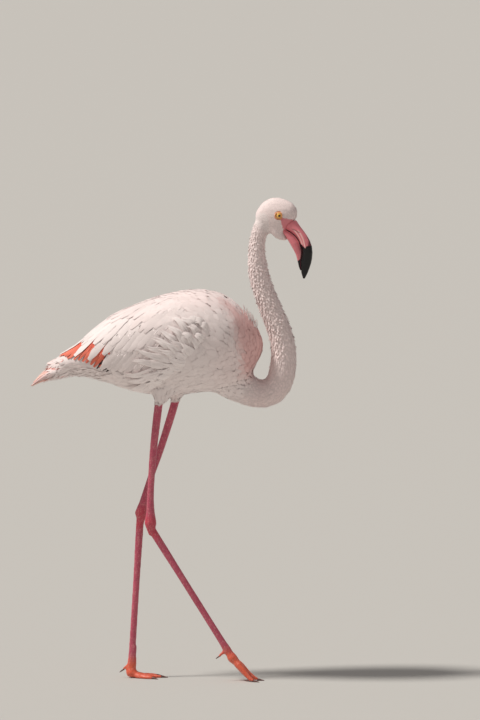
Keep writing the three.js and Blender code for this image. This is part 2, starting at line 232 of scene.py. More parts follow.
def moved(piece: bpy.types.Object, places: Array) -> None:
    """Sets the vertices of a mesh to new places."""
    piece.data.vertices.foreach_set("co", places.astype(np.float32).ravel())
    piece.data.update()


def painted(piece: bpy.types.Object, name: str, values: Array) -> None:
    """Stores one number for each vertex under a name that the materials read."""
    layer = piece.data.attributes.new(name, "FLOAT", "POINT")
    layer.data.foreach_set("value", np.asarray(values, np.float32).ravel())


def evened(piece: bpy.types.Object, voxel: float) -> bpy.types.Object:
    """Gives a piece one closed skin of even squares in place of its own faces.

    Args:
        piece: the mesh object.
        voxel: the squares' width in metres.

    Returns:
        The same object.
    """
    remesh = piece.modifiers.new("even", "REMESH")
    remesh.mode = "VOXEL"
    remesh.voxel_size = voxel
    return applied(piece)


def copy_of(
    nodes: Sequence[str], name: str, voxel: float, shift: Callable[[Array], Array] | None = None
) -> bpy.types.Object:
    """Joins copies of solids into one closed, even mesh.

    Args:
        nodes: the solids' names.
        name: the new object's name.
        voxel: the size of the new mesh's squares, in metres.
        shift: gives the copies' vertices new places before they are joined.

    Returns:
        The remeshed object.
    """
    shape = bmesh.new()
    for node in nodes:
        shape.from_mesh(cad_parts[node].data)
    bmesh.ops.remove_doubles(shape, verts=shape.verts, dist=1e-5)
    piece = object_from(shape, name)
    if shift is not None:
        moved(piece, shift(points_of(piece)[0]))
    return evened(piece, voxel)


def surfaced(piece: bpy.types.Object, finish: bpy.types.Material) -> None:
    """Gives a piece smooth shading and one material.

    Args:
        piece: the mesh object.
        finish: its only material.
    """
    piece.data.shade_smooth()
    piece.data.materials.clear()
    piece.data.materials.append(finish)


def relaxed(piece: bpy.types.Object, rounds: int, share: Array | None = None) -> None:
    """Smooths a mesh by moving each vertex towards the middle of its neighbours.

    Args:
        piece: the mesh object.
        rounds: how many times.
        share: how far each vertex goes, from 0 to 1, or all of them halfway.
    """
    mesh = piece.data
    pairs = np.zeros(len(mesh.edges) * 2, np.int32)
    mesh.edges.foreach_get("vertices", pairs)
    a, b = pairs.reshape(-1, 2).T
    places, _ = points_of(piece)
    count = np.bincount(np.r_[a, b], minlength=len(places))[:, None]
    go = 0.5 if share is None else share[:, None]
    for _ in range(rounds):
        total = np.zeros_like(places)
        for axis in range(3):
            total[:, axis] = np.bincount(a, places[b, axis], len(places))
            total[:, axis] += np.bincount(b, places[a, axis], len(places))
        places += go * (total / np.maximum(count, 1) - places)
    moved(piece, places)


# ---------------------------------------------------------------- the bird's plan


@dataclass(frozen=True)
class HeadPose:
    """The head's own frame: level and straight in itself, turned a little on the neck. Sizes in mm."""

    pivot: tuple[float, float, float] = (205, -2, 1030)
    turn: float = -12

    def _matrix(self) -> Array:
        """Gives the turn as a 3 by 3 matrix."""
        return np.array(Matrix.Rotation(math.radians(self.turn), 3, "Z"))

    def out(self, local: Array) -> Array:
        """Takes millimetres in the head's frame to metres in the bird's."""
        pivot = np.array(self.pivot)
        return ((np.asarray(local, float) - pivot) @ self._matrix().T + pivot) * MM

    def into(self, world: Array) -> Array:
        """Takes metres in the bird's frame to millimetres in the head's."""
        pivot = np.array(self.pivot)
        return (np.asarray(world, float) / MM - pivot) @ self._matrix() + pivot


@dataclass(frozen=True)
class NeckPath:
    """The neck's middle line from breast to skull, with its mean radius, in mm."""

    rows: tuple[tuple[float, float, float, float], ...] = (
        (92, 0, 719, 59), (122, 0, 692, 51), (151, 0, 668.5, 43), (178, 0, 652.5, 35), (205, 0, 645.8, 31.5),
        (228, 0, 652.5, 31), (243, 0, 671, 30), (252.5, 0, 715, 29.5), (249.5, 0, 759, 28.4),
        (239, 0, 798, 27.4), (214, -0.5, 858, 25.5), (195.5, -1, 926, 22.2), (192.5, -1.5, 962, 19.8),
        (195, -2, 995, 18.8), (203, -2, 1022, 18.8), (216, -2, 1044, 18.5),
    )
    samples: int = 160
    smoothing: int = 21

    def line(self) -> tuple[Array, Array, Array]:
        """Walks the line in even steps.

        Returns:
            Places in metres, directions towards the head, and radii in metres.
        """
        rows = softened(np.array(self.rows) * MM, self.samples * 2, self.smoothing)
        steps = np.linalg.norm(np.diff(rows[:, :3], axis=0), axis=1)
        along = np.r_[0, np.cumsum(steps)]
        even = np.linspace(0, along[-1], self.samples)
        fine = np.stack([np.interp(even, along, column) for column in rows.T], 1)
        return fine[:, :3], unit(np.gradient(fine[:, :3], axis=0)), fine[:, 3]


class BodyPlan:
    """Says where on the bird any place is, from neck to thigh and wing, and how the feathers lie there."""

    axis_x = np.array([-330, -250, -160, -60, 60, 215]) * MM
    axis_z = np.array([660, 703, 738, 757, 765, 756]) * MM
    wing_x = np.array([-282, -262, -235, -195, -150, -90, -10, 75, 128, 150]) * MM
    wing_lower = np.array([24, 44, 70, 102, 122, 126, 122, 115, 104, 90])
    front_source = np.array([225, 0, 672]) * MM
    tail_sink = np.array([-430, 0, 615]) * MM
    bill_root = np.array([284, 0, 1030.0])
    batch = 4000  # points measured against the neck's line at a time
    eye_place = np.array([247, 20.8, 1049.5])

    def __init__(self) -> None:
        """Prepares the neck's line and the head's frame."""
        self.head = HeadPose()
        self.neck_line, self.neck_way, self.neck_radius = NeckPath().line()

    def on_neck(self, places: Array) -> tuple[Array, Array, Array]:
        """Finds the nearest place on the neck's line.

        Args:
            places: points in metres.

        Returns:
            The share of the way from breast to skull, the distance over the neck's radius, and the number of
            the nearest sample.
        """
        best = np.empty(len(places), int)
        far = np.empty(len(places))
        for start in range(0, len(places), self.batch):
            part = slice(start, start + self.batch)
            gap = np.linalg.norm(places[part, None] - self.neck_line[None], axis=2)
            best[part], far[part] = gap.argmin(1), gap.min(1)
        return best / (len(self.neck_line) - 1), far / self.neck_radius[best], best

    def angle(self, places: Array) -> Array:
        """Gives the angle round the trunk's axis, 0 on the back and 180 on the belly, in degrees."""
        rise = places[:, 2] - np.interp(places[:, 0], self.axis_x, self.axis_z)
        return np.degrees(np.arctan2(np.abs(places[:, 1]), rise))

    def neck_share(self, places: Array) -> Array:
        """Gives 1 on the neck, 0 on the body, with a soft change at the breast.

        Args:
            places: points in metres.

        Returns:
            One share for each point.
        """
        share, near, _ = self.on_neck(places)
        high = ease(690, 722, places[:, 2] / MM)
        close = ease(1.9, 1.35, near) * (1 - high) + ease(1.34, 1.14, near) * high
        return ease(0.12, 0.24, share) * close

    def past_nape(self, places: Array) -> Array:
        """Gives how far places lie on the head's side of the line from nape to throat, in mm."""
        local = self.head.into(places)
        return (local[:, 0] - 187) * 0.61 + (local[:, 2] - 1032.7) * 0.79

    def head_share(self, places: Array) -> Array:
        """Gives 1 on the head and 0 on the neck."""
        return ease(-9, 9, self.past_nape(places)) * ease(970, 985, places[:, 2] / MM)

    def thigh_share(self, places: Array) -> Array:
        """Gives 1 low on the feathered thighs and 0 on the belly.

        Args:
            places: points in metres.

        Returns:
            One share for each point.
        """
        middle = np.where(places[:, 1] > 0, 10, -20) * MM
        near = np.hypot((places[:, 0] - middle) / 0.8, np.abs(places[:, 1]) - 41 * MM)
        return ease(675 * MM, 648 * MM, places[:, 2]) * ease(72 * MM, 45 * MM, near)

    def wing_share(self, places: Array) -> Array:
        """Gives 1 under the folded wing's feathers and 0 outside it.

        Args:
            places: points in metres.

        Returns:
            One share for each point.
        """
        angle = self.angle(places)
        x = places[:, 0]
        low = np.interp(x, self.wing_x, self.wing_lower)
        inside = ease(6, -4, angle - low) * ease(-276 * MM, -256 * MM, x) * ease(160 * MM, 135 * MM, x)
        return inside * (1 - self.neck_share(places))

    def bare_face(self, places: Array) -> Array:
        """Gives 1 on the naked skin round the eye and down to the bill, and 0 on feathers.

        Args:
            places: points in metres.

        Returns:
            One share for each point.
        """
        local = self.head.into(places)
        x, y, z = local[:, 0], np.abs(local[:, 1]), local[:, 2]
        under = ease(-1.2, 1.2, 1046.0 - 0.22 * (x - 250) - z)
        ahead = ease(-1.2, 1.2, x - 251.0 - 0.17 * (1043.5 - z))
        lores = under * ahead * ease(1014, 1017, z) * ease(5, 9, y)
        rim = ease(10.6, 9.4, np.hypot(x - self.eye_place[0], z - self.eye_place[2])) * ease(8, 12, y)
        return np.maximum(lores, rim)

    def flow(self, places: Array) -> Array:
        """Gives the way feathers point at each place, before it is laid on the surface.

        Args:
            places: points in metres.

        Returns:
            Unit vectors.
        """
        away, behind = places - self.front_source, places - self.tail_sink
        body = away / (np.sum(away**2, 1)[:, None] + 1e-4) - behind / (np.sum(behind**2, 1)[:, None] + 1e-4)
        body = unit(body)
        share, _, sample = self.on_neck(places)
        neck = self.neck_share(places)[:, None]
        way = body * (1 - neck) - self.neck_way[sample] * neck
        thigh = self.thigh_share(places)[:, None]
        way = way * (1 - thigh) + np.array([-0.25, 0, -1.0]) * thigh
        head = self.head_share(places)[:, None]
        local = self.head.into(places) - self.bill_root
        local[:, 1] *= 0.5
        back = unit(local) @ np.array(Matrix.Rotation(math.radians(self.head.turn), 3, "Z")).T
        return unit(way * (1 - head) + back * head)

    def depth(self, places: Array) -> Array:
        """Gives the coat's depth over the skin at each place, in metres.

        Args:
            places: points in metres.

        Returns:
            One depth for each point.
        """
        body = 4.0 - 2.8 * ease(-235 * MM, -312 * MM, places[:, 0])
        neck, head, thigh = self.neck_share(places), self.head_share(places), self.thigh_share(places)
        deep = body * (1 - neck) + 1.6 * neck
        deep = deep * (1 - head) + 1.4 * head * (1 - self.bare_face(places))
        deep = deep * (1 - thigh) + 3.0 * thigh
        return deep * MM

    def unwrap(self, places: Array) -> Array:
        """Lays the bird's surface flat: round it across, and along it from tail to head.

        Args:
            places: points in metres.

        Returns:
            Two numbers from 0 to 1 for each point.
        """
        share, _, sample = self.on_neck(places)
        neck = self.neck_share(places) > 0.5
        side = places - self.neck_line[sample]
        up = np.cross(self.neck_way[sample], np.array([0.0, 1.0, 0.0]))
        round_neck = np.arctan2(side[:, 1], np.sum(side * up, 1))
        rise = places[:, 2] - np.interp(places[:, 0], self.axis_x, self.axis_z)
        round_body = np.arctan2(places[:, 1], rise)
        across = 0.5 + np.where(neck, round_neck, round_body) / (2 * math.pi)
        on_body = 0.55 * (places[:, 0] + 0.33) / 0.58
        along = np.clip(np.where(neck, 0.56 + 0.43 * share, on_body), 0.01, 0.99)
        return np.stack([0.01 + 0.98 * across, along], 1)


@dataclass(frozen=True)
class Markings:
    """The plumage's colours by place, the same for the skin under it and each feather on it."""

    plan: BodyPlan

    def blush(self, places: Array) -> Array:
        """Gives how rosy the plumage is, from 0 to 1.

        Args:
            places: points in metres.

        Returns:
            One number for each point.
        """
        x, y, z = places.T / MM
        share, _, _ = self.plan.on_neck(places)
        neck = self.plan.neck_share(places)
        band = off_line(np.stack([x, z], 1), ((128, 861), (146, 845), (158, 818), (163, 780), (170, 735)))
        shoulder = 0.62 * np.exp(-((band / 17) ** 2)) * ease(24, 50, np.abs(y)) * ease(700, 760, z)
        chest = 0.66 * ease(146, 172, x) * ease(650, 715, z) * ease(872, 846, z)
        breast = 0.12 * ease(60, 150, x) * ease(640, 700, z) * ease(800, 740, z)
        throat = neck * (0.11 + 0.05 * ease(0.45, 0.2, share)) * (1 - self.plan.head_share(places))
        tail = 0.55 * ease(-255, -300, x)
        back = 0.10 * ease(820, 860, z) * (1 - neck)
        body = np.maximum.reduce([shoulder, chest, breast, tail, back])
        return np.clip(np.maximum(body * (1 - neck), throat) + 0.04, 0, 1)


# ---------------------------------------------------------------- finishes


@dataclass(frozen=True)
class Plumage:
    """Feather keratin, grown as soft barbs: matt and bright, with a velvet edge and fine lines along them."""

    name: str
    pale: str = "#f7ecea"
    rosy: str = "#eba9a4"
    tip: str = ""
    barb_mm: float = 1.6  # real barbs stand about 0.4 mm apart; drawn four times as coarse so that they show
    roughness: float = 0.72
    sheen: float = 0.18
    relief: float = 0.25
    mottle: float = 0.10

    def made(self) -> bpy.types.Material:
        """Builds the material; it reads the blush, tone and vane attributes of feathers and skin alike.

        Returns:
            The material.
        """
        material = fresh(self.name)
        tree = material.node_tree
        blush, tone, vane = (
            add(tree, "ShaderNodeAttribute", {"attribute_name": name}) for name in ("blush", "tone", "vane")
        )
        base = add(
            tree, "ShaderNodeMix", {"data_type": "RGBA"}, {6: linear(self.pale), 7: linear(self.rosy)},
            {0: blush.outputs["Fac"]},
        )
        colour = base.outputs[2]
        if self.tip:
            split = add(tree, "ShaderNodeSeparateXYZ", links={0: vane.outputs["Vector"]})
            ends = add(
                tree, "ShaderNodeMapRange", {"interpolation_type": "SMOOTHSTEP"},
                {"From Min": 0.30, "From Max": 0.85}, {"Value": split.outputs["Z"]},
            )
            ended = add(
                tree, "ShaderNodeMix", {"data_type": "RGBA"}, {7: linear(self.tip)},
                {0: ends.outputs[0], 6: colour},
            )
            colour = ended.outputs[2]
        place = add(tree, "ShaderNodeTexCoord")
        cloud = add(
            tree, "ShaderNodeTexNoise", values={"Scale": 1 / (28 * MM), "Detail": 3.0, "Roughness": 0.55},
            links={"Vector": place.outputs["Object"]},
        )
        total = add(
            tree, "ShaderNodeMath", {"operation": "MULTIPLY_ADD"}, {1: self.mottle, 2: 1 - self.mottle * 0.5},
            {0: cloud.outputs["Fac"]},
        )
        shade = add(
            tree, "ShaderNodeMath", {"operation": "MULTIPLY"},
            links={0: total.outputs[0], 1: tone.outputs["Fac"]},
        )
        dressed = add(
            tree, "ShaderNodeVectorMath", {"operation": "SCALE"},
            links={0: colour, "Scale": shade.outputs[0]},
        )
        barbs = add(
            tree, "ShaderNodeTexWave",
            {"wave_type": "BANDS", "bands_direction": "DIAGONAL", "wave_profile": "SIN"},
            {"Scale": 20.0 / (2 * math.pi * self.barb_mm) * 0.16, "Distortion": 1.6, "Detail": 1.0},
            {"Vector": vane.outputs["Vector"]},
        )
        bump = add(
            tree, "ShaderNodeBump", values={"Strength": self.relief, "Distance": 0.35 * MM},
            links={"Height": barbs.outputs["Fac"]},
        )
        shader = add(
            tree,
            "ShaderNodeBsdfPrincipled",
            values={
                "Roughness": self.roughness,
                "IOR": 1.54,
                "Specular IOR Level": 0.35,
                "Sheen Weight": self.sheen,
                "Sheen Roughness": 0.5,
            },
            links={"Base Color": dressed.outputs[0], "Normal": bump.outputs[0]},
        )
        return finished(material, shader)


@dataclass(frozen=True)
class ScaledSkin:
    """Bare leg skin, grown as small horny plates: dry, rose pink, with a painted glint on some plates and
    painted shade between them.
    """

    name: str = "leg skin, horny plates"
    rose: str = "#e06a80"
    dusky: str = "#b84560"
    joint: str = "#d6485a"
    coral: str = "#ee6a4c"
    plate_glint: str = "#f3b6ae"
    plate_mm: float = 2.6

    def made(self) -> bpy.types.Material:
        """Builds the material; it reads the joint and foot attributes of the skin.

        Returns:
            The material.
        """
        material = fresh(self.name)
        tree = material.node_tree
        joint = add(tree, "ShaderNodeAttribute", {"attribute_name": "joint"})
        foot = add(tree, "ShaderNodeAttribute", {"attribute_name": "foot"})
        place = add(tree, "ShaderNodeTexCoord")
        drawn = add(
            tree, "ShaderNodeMapping", values={"Scale": (1.0, 1.0, 0.55)},
            links={"Vector": place.outputs["Object"]},
        )
        size = {"Scale": 1 / (self.plate_mm * MM), "Randomness": 0.75}
        cells, plates = (
            add(tree, "ShaderNodeTexVoronoi", {"feature": feature}, size, {"Vector": drawn.outputs[0]})
            for feature in ("DISTANCE_TO_EDGE", "F1")
        )
        streak = add(
            tree, "ShaderNodeTexNoise", values={"Scale": 1 / (22 * MM), "Detail": 4.0},
            links={"Vector": place.outputs["Object"]},
        )
        base = add(
            tree, "ShaderNodeMix", {"data_type": "RGBA"}, {6: linear(self.rose), 7: linear(self.dusky)},
            {0: streak.outputs["Fac"]},
        )
        tint = base.outputs[2]
        for mask, shade in ((joint, self.joint), (foot, self.coral)):
            over = add(
                tree, "ShaderNodeMix", {"data_type": "RGBA"}, {7: linear(shade)},
                {0: mask.outputs["Fac"], 6: tint},
            )
            tint = over.outputs[2]
        # Painted highlight: some plates are paled as if each caught a glint of light.
        apart = add(tree, "ShaderNodeSeparateColor", links={0: plates.outputs["Color"]})
        glint_share = add(
            tree, "ShaderNodeMapRange", values={"From Min": 0.55, "From Max": 1.0, "To Max": 0.26},
            links={"Value": apart.outputs[0]},
        )
        pale = add(
            tree, "ShaderNodeMix", {"data_type": "RGBA"}, {7: linear(self.plate_glint)},
            {0: glint_share.outputs[0], 6: tint},
        )
        groove = add(
            tree, "ShaderNodeMapRange", {"interpolation_type": "SMOOTHSTEP"},
            {"From Min": 0.0, "From Max": 0.22}, {"Value": cells.outputs["Distance"]},
        )
        drawn_out = add(
            tree, "ShaderNodeMapping", values={"Scale": (1.0, 1.0, 0.12)},
            links={"Vector": place.outputs["Object"]},
        )
        wrinkles = add(
            tree, "ShaderNodeTexNoise", values={"Scale": 1 / (2.2 * MM), "Detail": 2.0},
            links={"Vector": drawn_out.outputs[0]},
        )
        deepened = add(
            tree, "ShaderNodeMath", {"operation": "MULTIPLY"},
            links={0: wrinkles.outputs["Fac"], 1: joint.outputs["Fac"]},
        )
        relief = add(
            tree, "ShaderNodeMath", {"operation": "MULTIPLY_ADD"}, {1: 5.0},
            {0: deepened.outputs[0], 2: groove.outputs[0]},
        )
        # Painted shade: the skin is darkened in the grooves between the plates, where shade would fall.
        dark = add(
            tree, "ShaderNodeMapRange", values={"To Min": 0.74, "To Max": 1.0},
            links={"Value": groove.outputs[0]},
        )
        colour = add(
            tree, "ShaderNodeVectorMath", {"operation": "SCALE"},
            links={0: pale.outputs[2], "Scale": dark.outputs[0]},
        )
        bump = add(
            tree, "ShaderNodeBump", values={"Strength": 0.55, "Distance": 0.45 * MM},
            links={"Height": relief.outputs[0]},
        )
        shader = add(
            tree, "ShaderNodeBsdfPrincipled",
            values={"Roughness": 0.34, "IOR": 1.5, "Specular IOR Level": 0.5},
            links={"Base Color": colour.outputs[0], "Normal": bump.outputs[0]},
        )
        return finished(material, shader)


@dataclass(frozen=True)
class FaceSkin:
    """Naked face skin: soft, finely wrinkled and pink, with the colour of the blood under it."""

    name: str = "bare face skin"
    lid: str = "#dd9a66"
    pink: str = "#ec9a9c"
    deep: str = "#cf6f7e"

    def made(self) -> bpy.types.Material:
        """Builds the material; it reads the lid attribute of the skin.

        Returns:
            The material.
        """
        material = fresh(self.name)
        tree = material.node_tree
        ring = add(tree, "ShaderNodeAttribute", {"attribute_name": "lid"})
        place = add(tree, "ShaderNodeTexCoord")
        folds = add(
            tree, "ShaderNodeTexNoise", values={"Scale": 1 / (2.4 * MM), "Detail": 4.0, "Roughness": 0.6},
            links={"Vector": place.outputs["Object"]},
        )
        base = add(
            tree, "ShaderNodeMix", {"data_type": "RGBA"}, {6: linear(self.pink), 7: linear(self.deep)},
            {0: folds.outputs["Fac"]},
        )
        rimmed = add(
            tree, "ShaderNodeMix", {"data_type": "RGBA"}, {7: linear(self.lid)},
            {0: ring.outputs["Fac"], 6: base.outputs[2]},
        )
        bump = add(
            tree, "ShaderNodeBump", values={"Strength": 0.5, "Distance": 0.4 * MM},
            links={"Height": folds.outputs["Fac"]},
        )
        shader = add(
            tree, "ShaderNodeBsdfPrincipled", values={"Roughness": 0.5, "IOR": 1.42},
            links={"Base Color": rimmed.outputs[2], "Normal": bump.outputs[0]},
        )
        return finished(material, shader)


@dataclass(frozen=True)
class BillHorn:
    """Bill horn, grown in layers and worn smooth: satin pink with a glossy black tip, and painted shade along
    the mouth line.
    """

    name: str = "bill horn"
    pink: str = "#e67a86"
    flush: str = "#ea8f95"
    # pale colours the stripes: partly the horn's paler colour, partly a painted highlight.
    pale: str = "#fbd3cc"
    black: str = "#08080a"
    # maroon colours the ridge marking and also the painted shade along the mouth line.
    maroon: str = "#5c2230"

    def made(self) -> bpy.types.Material:
        """Builds the material; it reads the bill's attributes for the tip, the ridge, the pale stripes with
        their painted highlight, and the painted shade of the mouth line.

        Returns:
            The material.
        """
        material = fresh(self.name)
        tree = material.node_tree
        place = add(tree, "ShaderNodeTexCoord")
        drawn = add(
            tree, "ShaderNodeMapping", values={"Scale": (1.0, 1.0, 0.35)},
            links={"Vector": place.outputs["Object"]},
        )
        grain = add(
            tree, "ShaderNodeTexNoise", values={"Scale": 1 / (3.0 * MM), "Detail": 4.0},
            links={"Vector": drawn.outputs[0]},
        )
        base = add(
            tree, "ShaderNodeMix", {"data_type": "RGBA"}, {6: linear(self.pink), 7: linear(self.flush)},
            {0: grain.outputs["Fac"]},
        )
        tint, masks = base.outputs[2], {}
        # The pale stripes are partly the horn's own colour and partly a painted highlight; the mouth line and
        # nostril slits get a painted shade.
        layers = (("pale_and_highlight", self.pale), ("ridge", self.maroon), ("gap_shade", self.maroon), ("tip", self.black))
        for name, shade in layers:
            masks[name] = add(tree, "ShaderNodeAttribute", {"attribute_name": name}).outputs["Fac"]
            mixed = {0: masks[name], 6: tint}
            tint = add(tree, "ShaderNodeMix", {"data_type": "RGBA"}, {7: linear(shade)}, mixed).outputs[2]
        bump = add(
            tree, "ShaderNodeBump", values={"Strength": 0.25, "Distance": 0.3 * MM},
            links={"Height": grain.outputs["Fac"]},
        )
        gloss = add(
            tree, "ShaderNodeMapRange", values={"To Min": 0.42, "To Max": 0.24},
            links={"Value": masks["tip"]},
        )
        shader = add(
            tree, "ShaderNodeBsdfPrincipled", values={"IOR": 1.55, "Specular IOR Level": 0.35},
            links={"Base Color": tint, "Normal": bump.outputs[0], "Roughness": gloss.outputs[0]},
        )
        return finished(material, shader)


@dataclass(frozen=True)
class ClawHorn:
    """Claw horn: dark, worn satin, mottled with a paler grain."""

    name: str = "claw horn"
    dark: str = "#3a2a2a"
    pale: str = "#8a5f58"

    def made(self) -> bpy.types.Material:
        """Builds the material.

        Returns:
            The material.
        """
        material = fresh(self.name)
        tree = material.node_tree
        place = add(tree, "ShaderNodeTexCoord")
        grain = add(
            tree, "ShaderNodeTexNoise", values={"Scale": 1 / (2.0 * MM), "Detail": 3.0},
            links={"Vector": place.outputs["Object"]},
        )
        base = add(
            tree, "ShaderNodeMix", {"data_type": "RGBA"}, {6: linear(self.dark), 7: linear(self.pale)},
            {0: grain.outputs["Fac"]},
        )
        bump = add(
            tree, "ShaderNodeBump", values={"Strength": 0.3, "Distance": 0.2 * MM},
            links={"Height": grain.outputs["Fac"]},
        )
        shader = add(
            tree, "ShaderNodeBsdfPrincipled", values={"Roughness": 0.45, "IOR": 1.54},
            links={"Base Color": base.outputs[2], "Normal": bump.outputs[0]},
        )
        return finished(material, shader)


@dataclass(frozen=True)
class EyeGlaze:
    """A living eye: an amber iris with fine rays and a black pupil, under a wet clear cornea."""

    name: str = "wet eye, amber iris"
    amber: str = "#f3c25e"
    rust: str = "#c87a2c"
    pupil: str = "#050405"
    rim: str = "#3a1d14"

    def made(self) -> bpy.types.Material:
        """Builds the material; the gaze attribute is 0 at the pupil's middle and 1 at the eye's side.

        Returns:
            The material.
        """
        material = fresh(self.name)
        tree = material.node_tree
        gaze = add(tree, "ShaderNodeAttribute", {"attribute_name": "gaze"})
        ramp = add(tree, "ShaderNodeValToRGB", links={0: gaze.outputs["Fac"]})
        stops = [(0.0, self.pupil), (0.19, self.pupil), (0.23, self.rust), (0.32, self.amber)]
        stops += [(0.56, self.amber), (0.66, self.rust), (0.74, self.rim)]
        while len(ramp.color_ramp.elements) < len(stops):
            ramp.color_ramp.elements.new(1.0)
        for element, (where, code) in zip(ramp.color_ramp.elements, stops):
            element.position, element.color = where, linear(code)
        place = add(tree, "ShaderNodeTexCoord")
        rays = add(
            tree, "ShaderNodeTexNoise", values={"Scale": 1 / (0.9 * MM), "Detail": 2.0},
            links={"Vector": place.outputs["Object"]},
        )
        shade = add(
            tree, "ShaderNodeMapRange", values={"To Min": 0.8, "To Max": 1.15},
            links={"Value": rays.outputs["Fac"]},
        )
        colour = add(
            tree, "ShaderNodeVectorMath", {"operation": "SCALE"},
            links={0: ramp.outputs["Color"], "Scale": shade.outputs[0]},
        )
        shader = add(
            tree, "ShaderNodeBsdfPrincipled",
            values={"Roughness": 0.12, "IOR": 1.38, "Coat Weight": 1.0, "Coat Roughness": 0.03},
            links={"Base Color": colour.outputs[0]},
        )
        return finished(material, shader)


@dataclass(frozen=True)
class StudioPaper:
    """Matt seamless paper: pale and plain."""

    name: str = "matt floor paper"
    tone: str = "#c0beba"

    def made(self) -> bpy.types.Material:
        """Builds the material.

        Returns:
            The material.
        """
        material = fresh(self.name)
        shader = add(
            material.node_tree, "ShaderNodeBsdfPrincipled",
            values={"Base Color": linear(self.tone), "Roughness": 0.9, "Specular IOR Level": 0.2},
        )
        return finished(material, shader)


# ---------------------------------------------------------------- studio


@dataclass
class Studio:
    """Camera, floor and light round the bird."""

    aim: tuple[float, float, float] = (0.155, 0.0, 0.723)
    distance: float = 12.0
    elevation: float = 4.0
    lens: float = 36 * 12.0 / 1.62
    floor_half: float = 1500.0
    key_strength: float = 3.0
    key_from: tuple[float, float, float] = (-0.54, -0.12, 0.83)
    key_spread: float = 9.0
    sky: str = "#e9e4e2"
    sky_strength: float = 0.38

    def build(self) -> None:
        """Places the camera, the floor and the lights."""
        scene = bpy.context.scene
        data = bpy.data.cameras.new("camera")
        data.sensor_width = 36
        data.lens = self.lens
        data.clip_end = 4000
        camera = bpy.data.objects.new("camera", data)
        rise = math.radians(self.elevation)
        back = Vector((0, -math.cos(rise), math.sin(rise)))
        camera.location = Vector(self.aim) + back * self.distance
        camera.rotation_euler = (-back).to_track_quat("-Z", "Y").to_euler()
        scene.collection.objects.link(camera)
        scene.camera = camera
        shape = bmesh.new()
        bmesh.ops.create_grid(shape, x_segments=1, y_segments=1, size=self.floor_half)
        floor = object_from(shape, "floor")
        floor.data.materials.append(StudioPaper().made())
        lamp = bpy.data.lights.new("key", "SUN")
        lamp.energy = self.key_strength
        lamp.angle = math.radians(self.key_spread)
        lamp.color = (1.0, 0.965, 0.91)
        key = bpy.data.objects.new("key", lamp)
        key.rotation_euler = Vector(self.key_from).to_track_quat("Z", "Y").to_euler()
        scene.collection.objects.link(key)
        world = bpy.data.worlds.new("studio light")
        world.use_nodes = True
        world.node_tree.nodes["Background"].inputs["Color"].default_value = linear(self.sky)
        world.node_tree.nodes["Background"].inputs["Strength"].default_value = self.sky_strength
        scene.world = world
        scene.view_settings.view_transform = "Standard"


# ---------------------------------------------------------------- skin


FLESH = (
    "trunk", "wing_right", "wing_left", "tail", "neck_lower", "neck_middle", "neck_upper", "head",
    "thigh_right", "thigh_left",
)
BARE = ("shank_right", "shank_left", "tarsus_right", "tarsus_left", "foot_right", "foot_left")


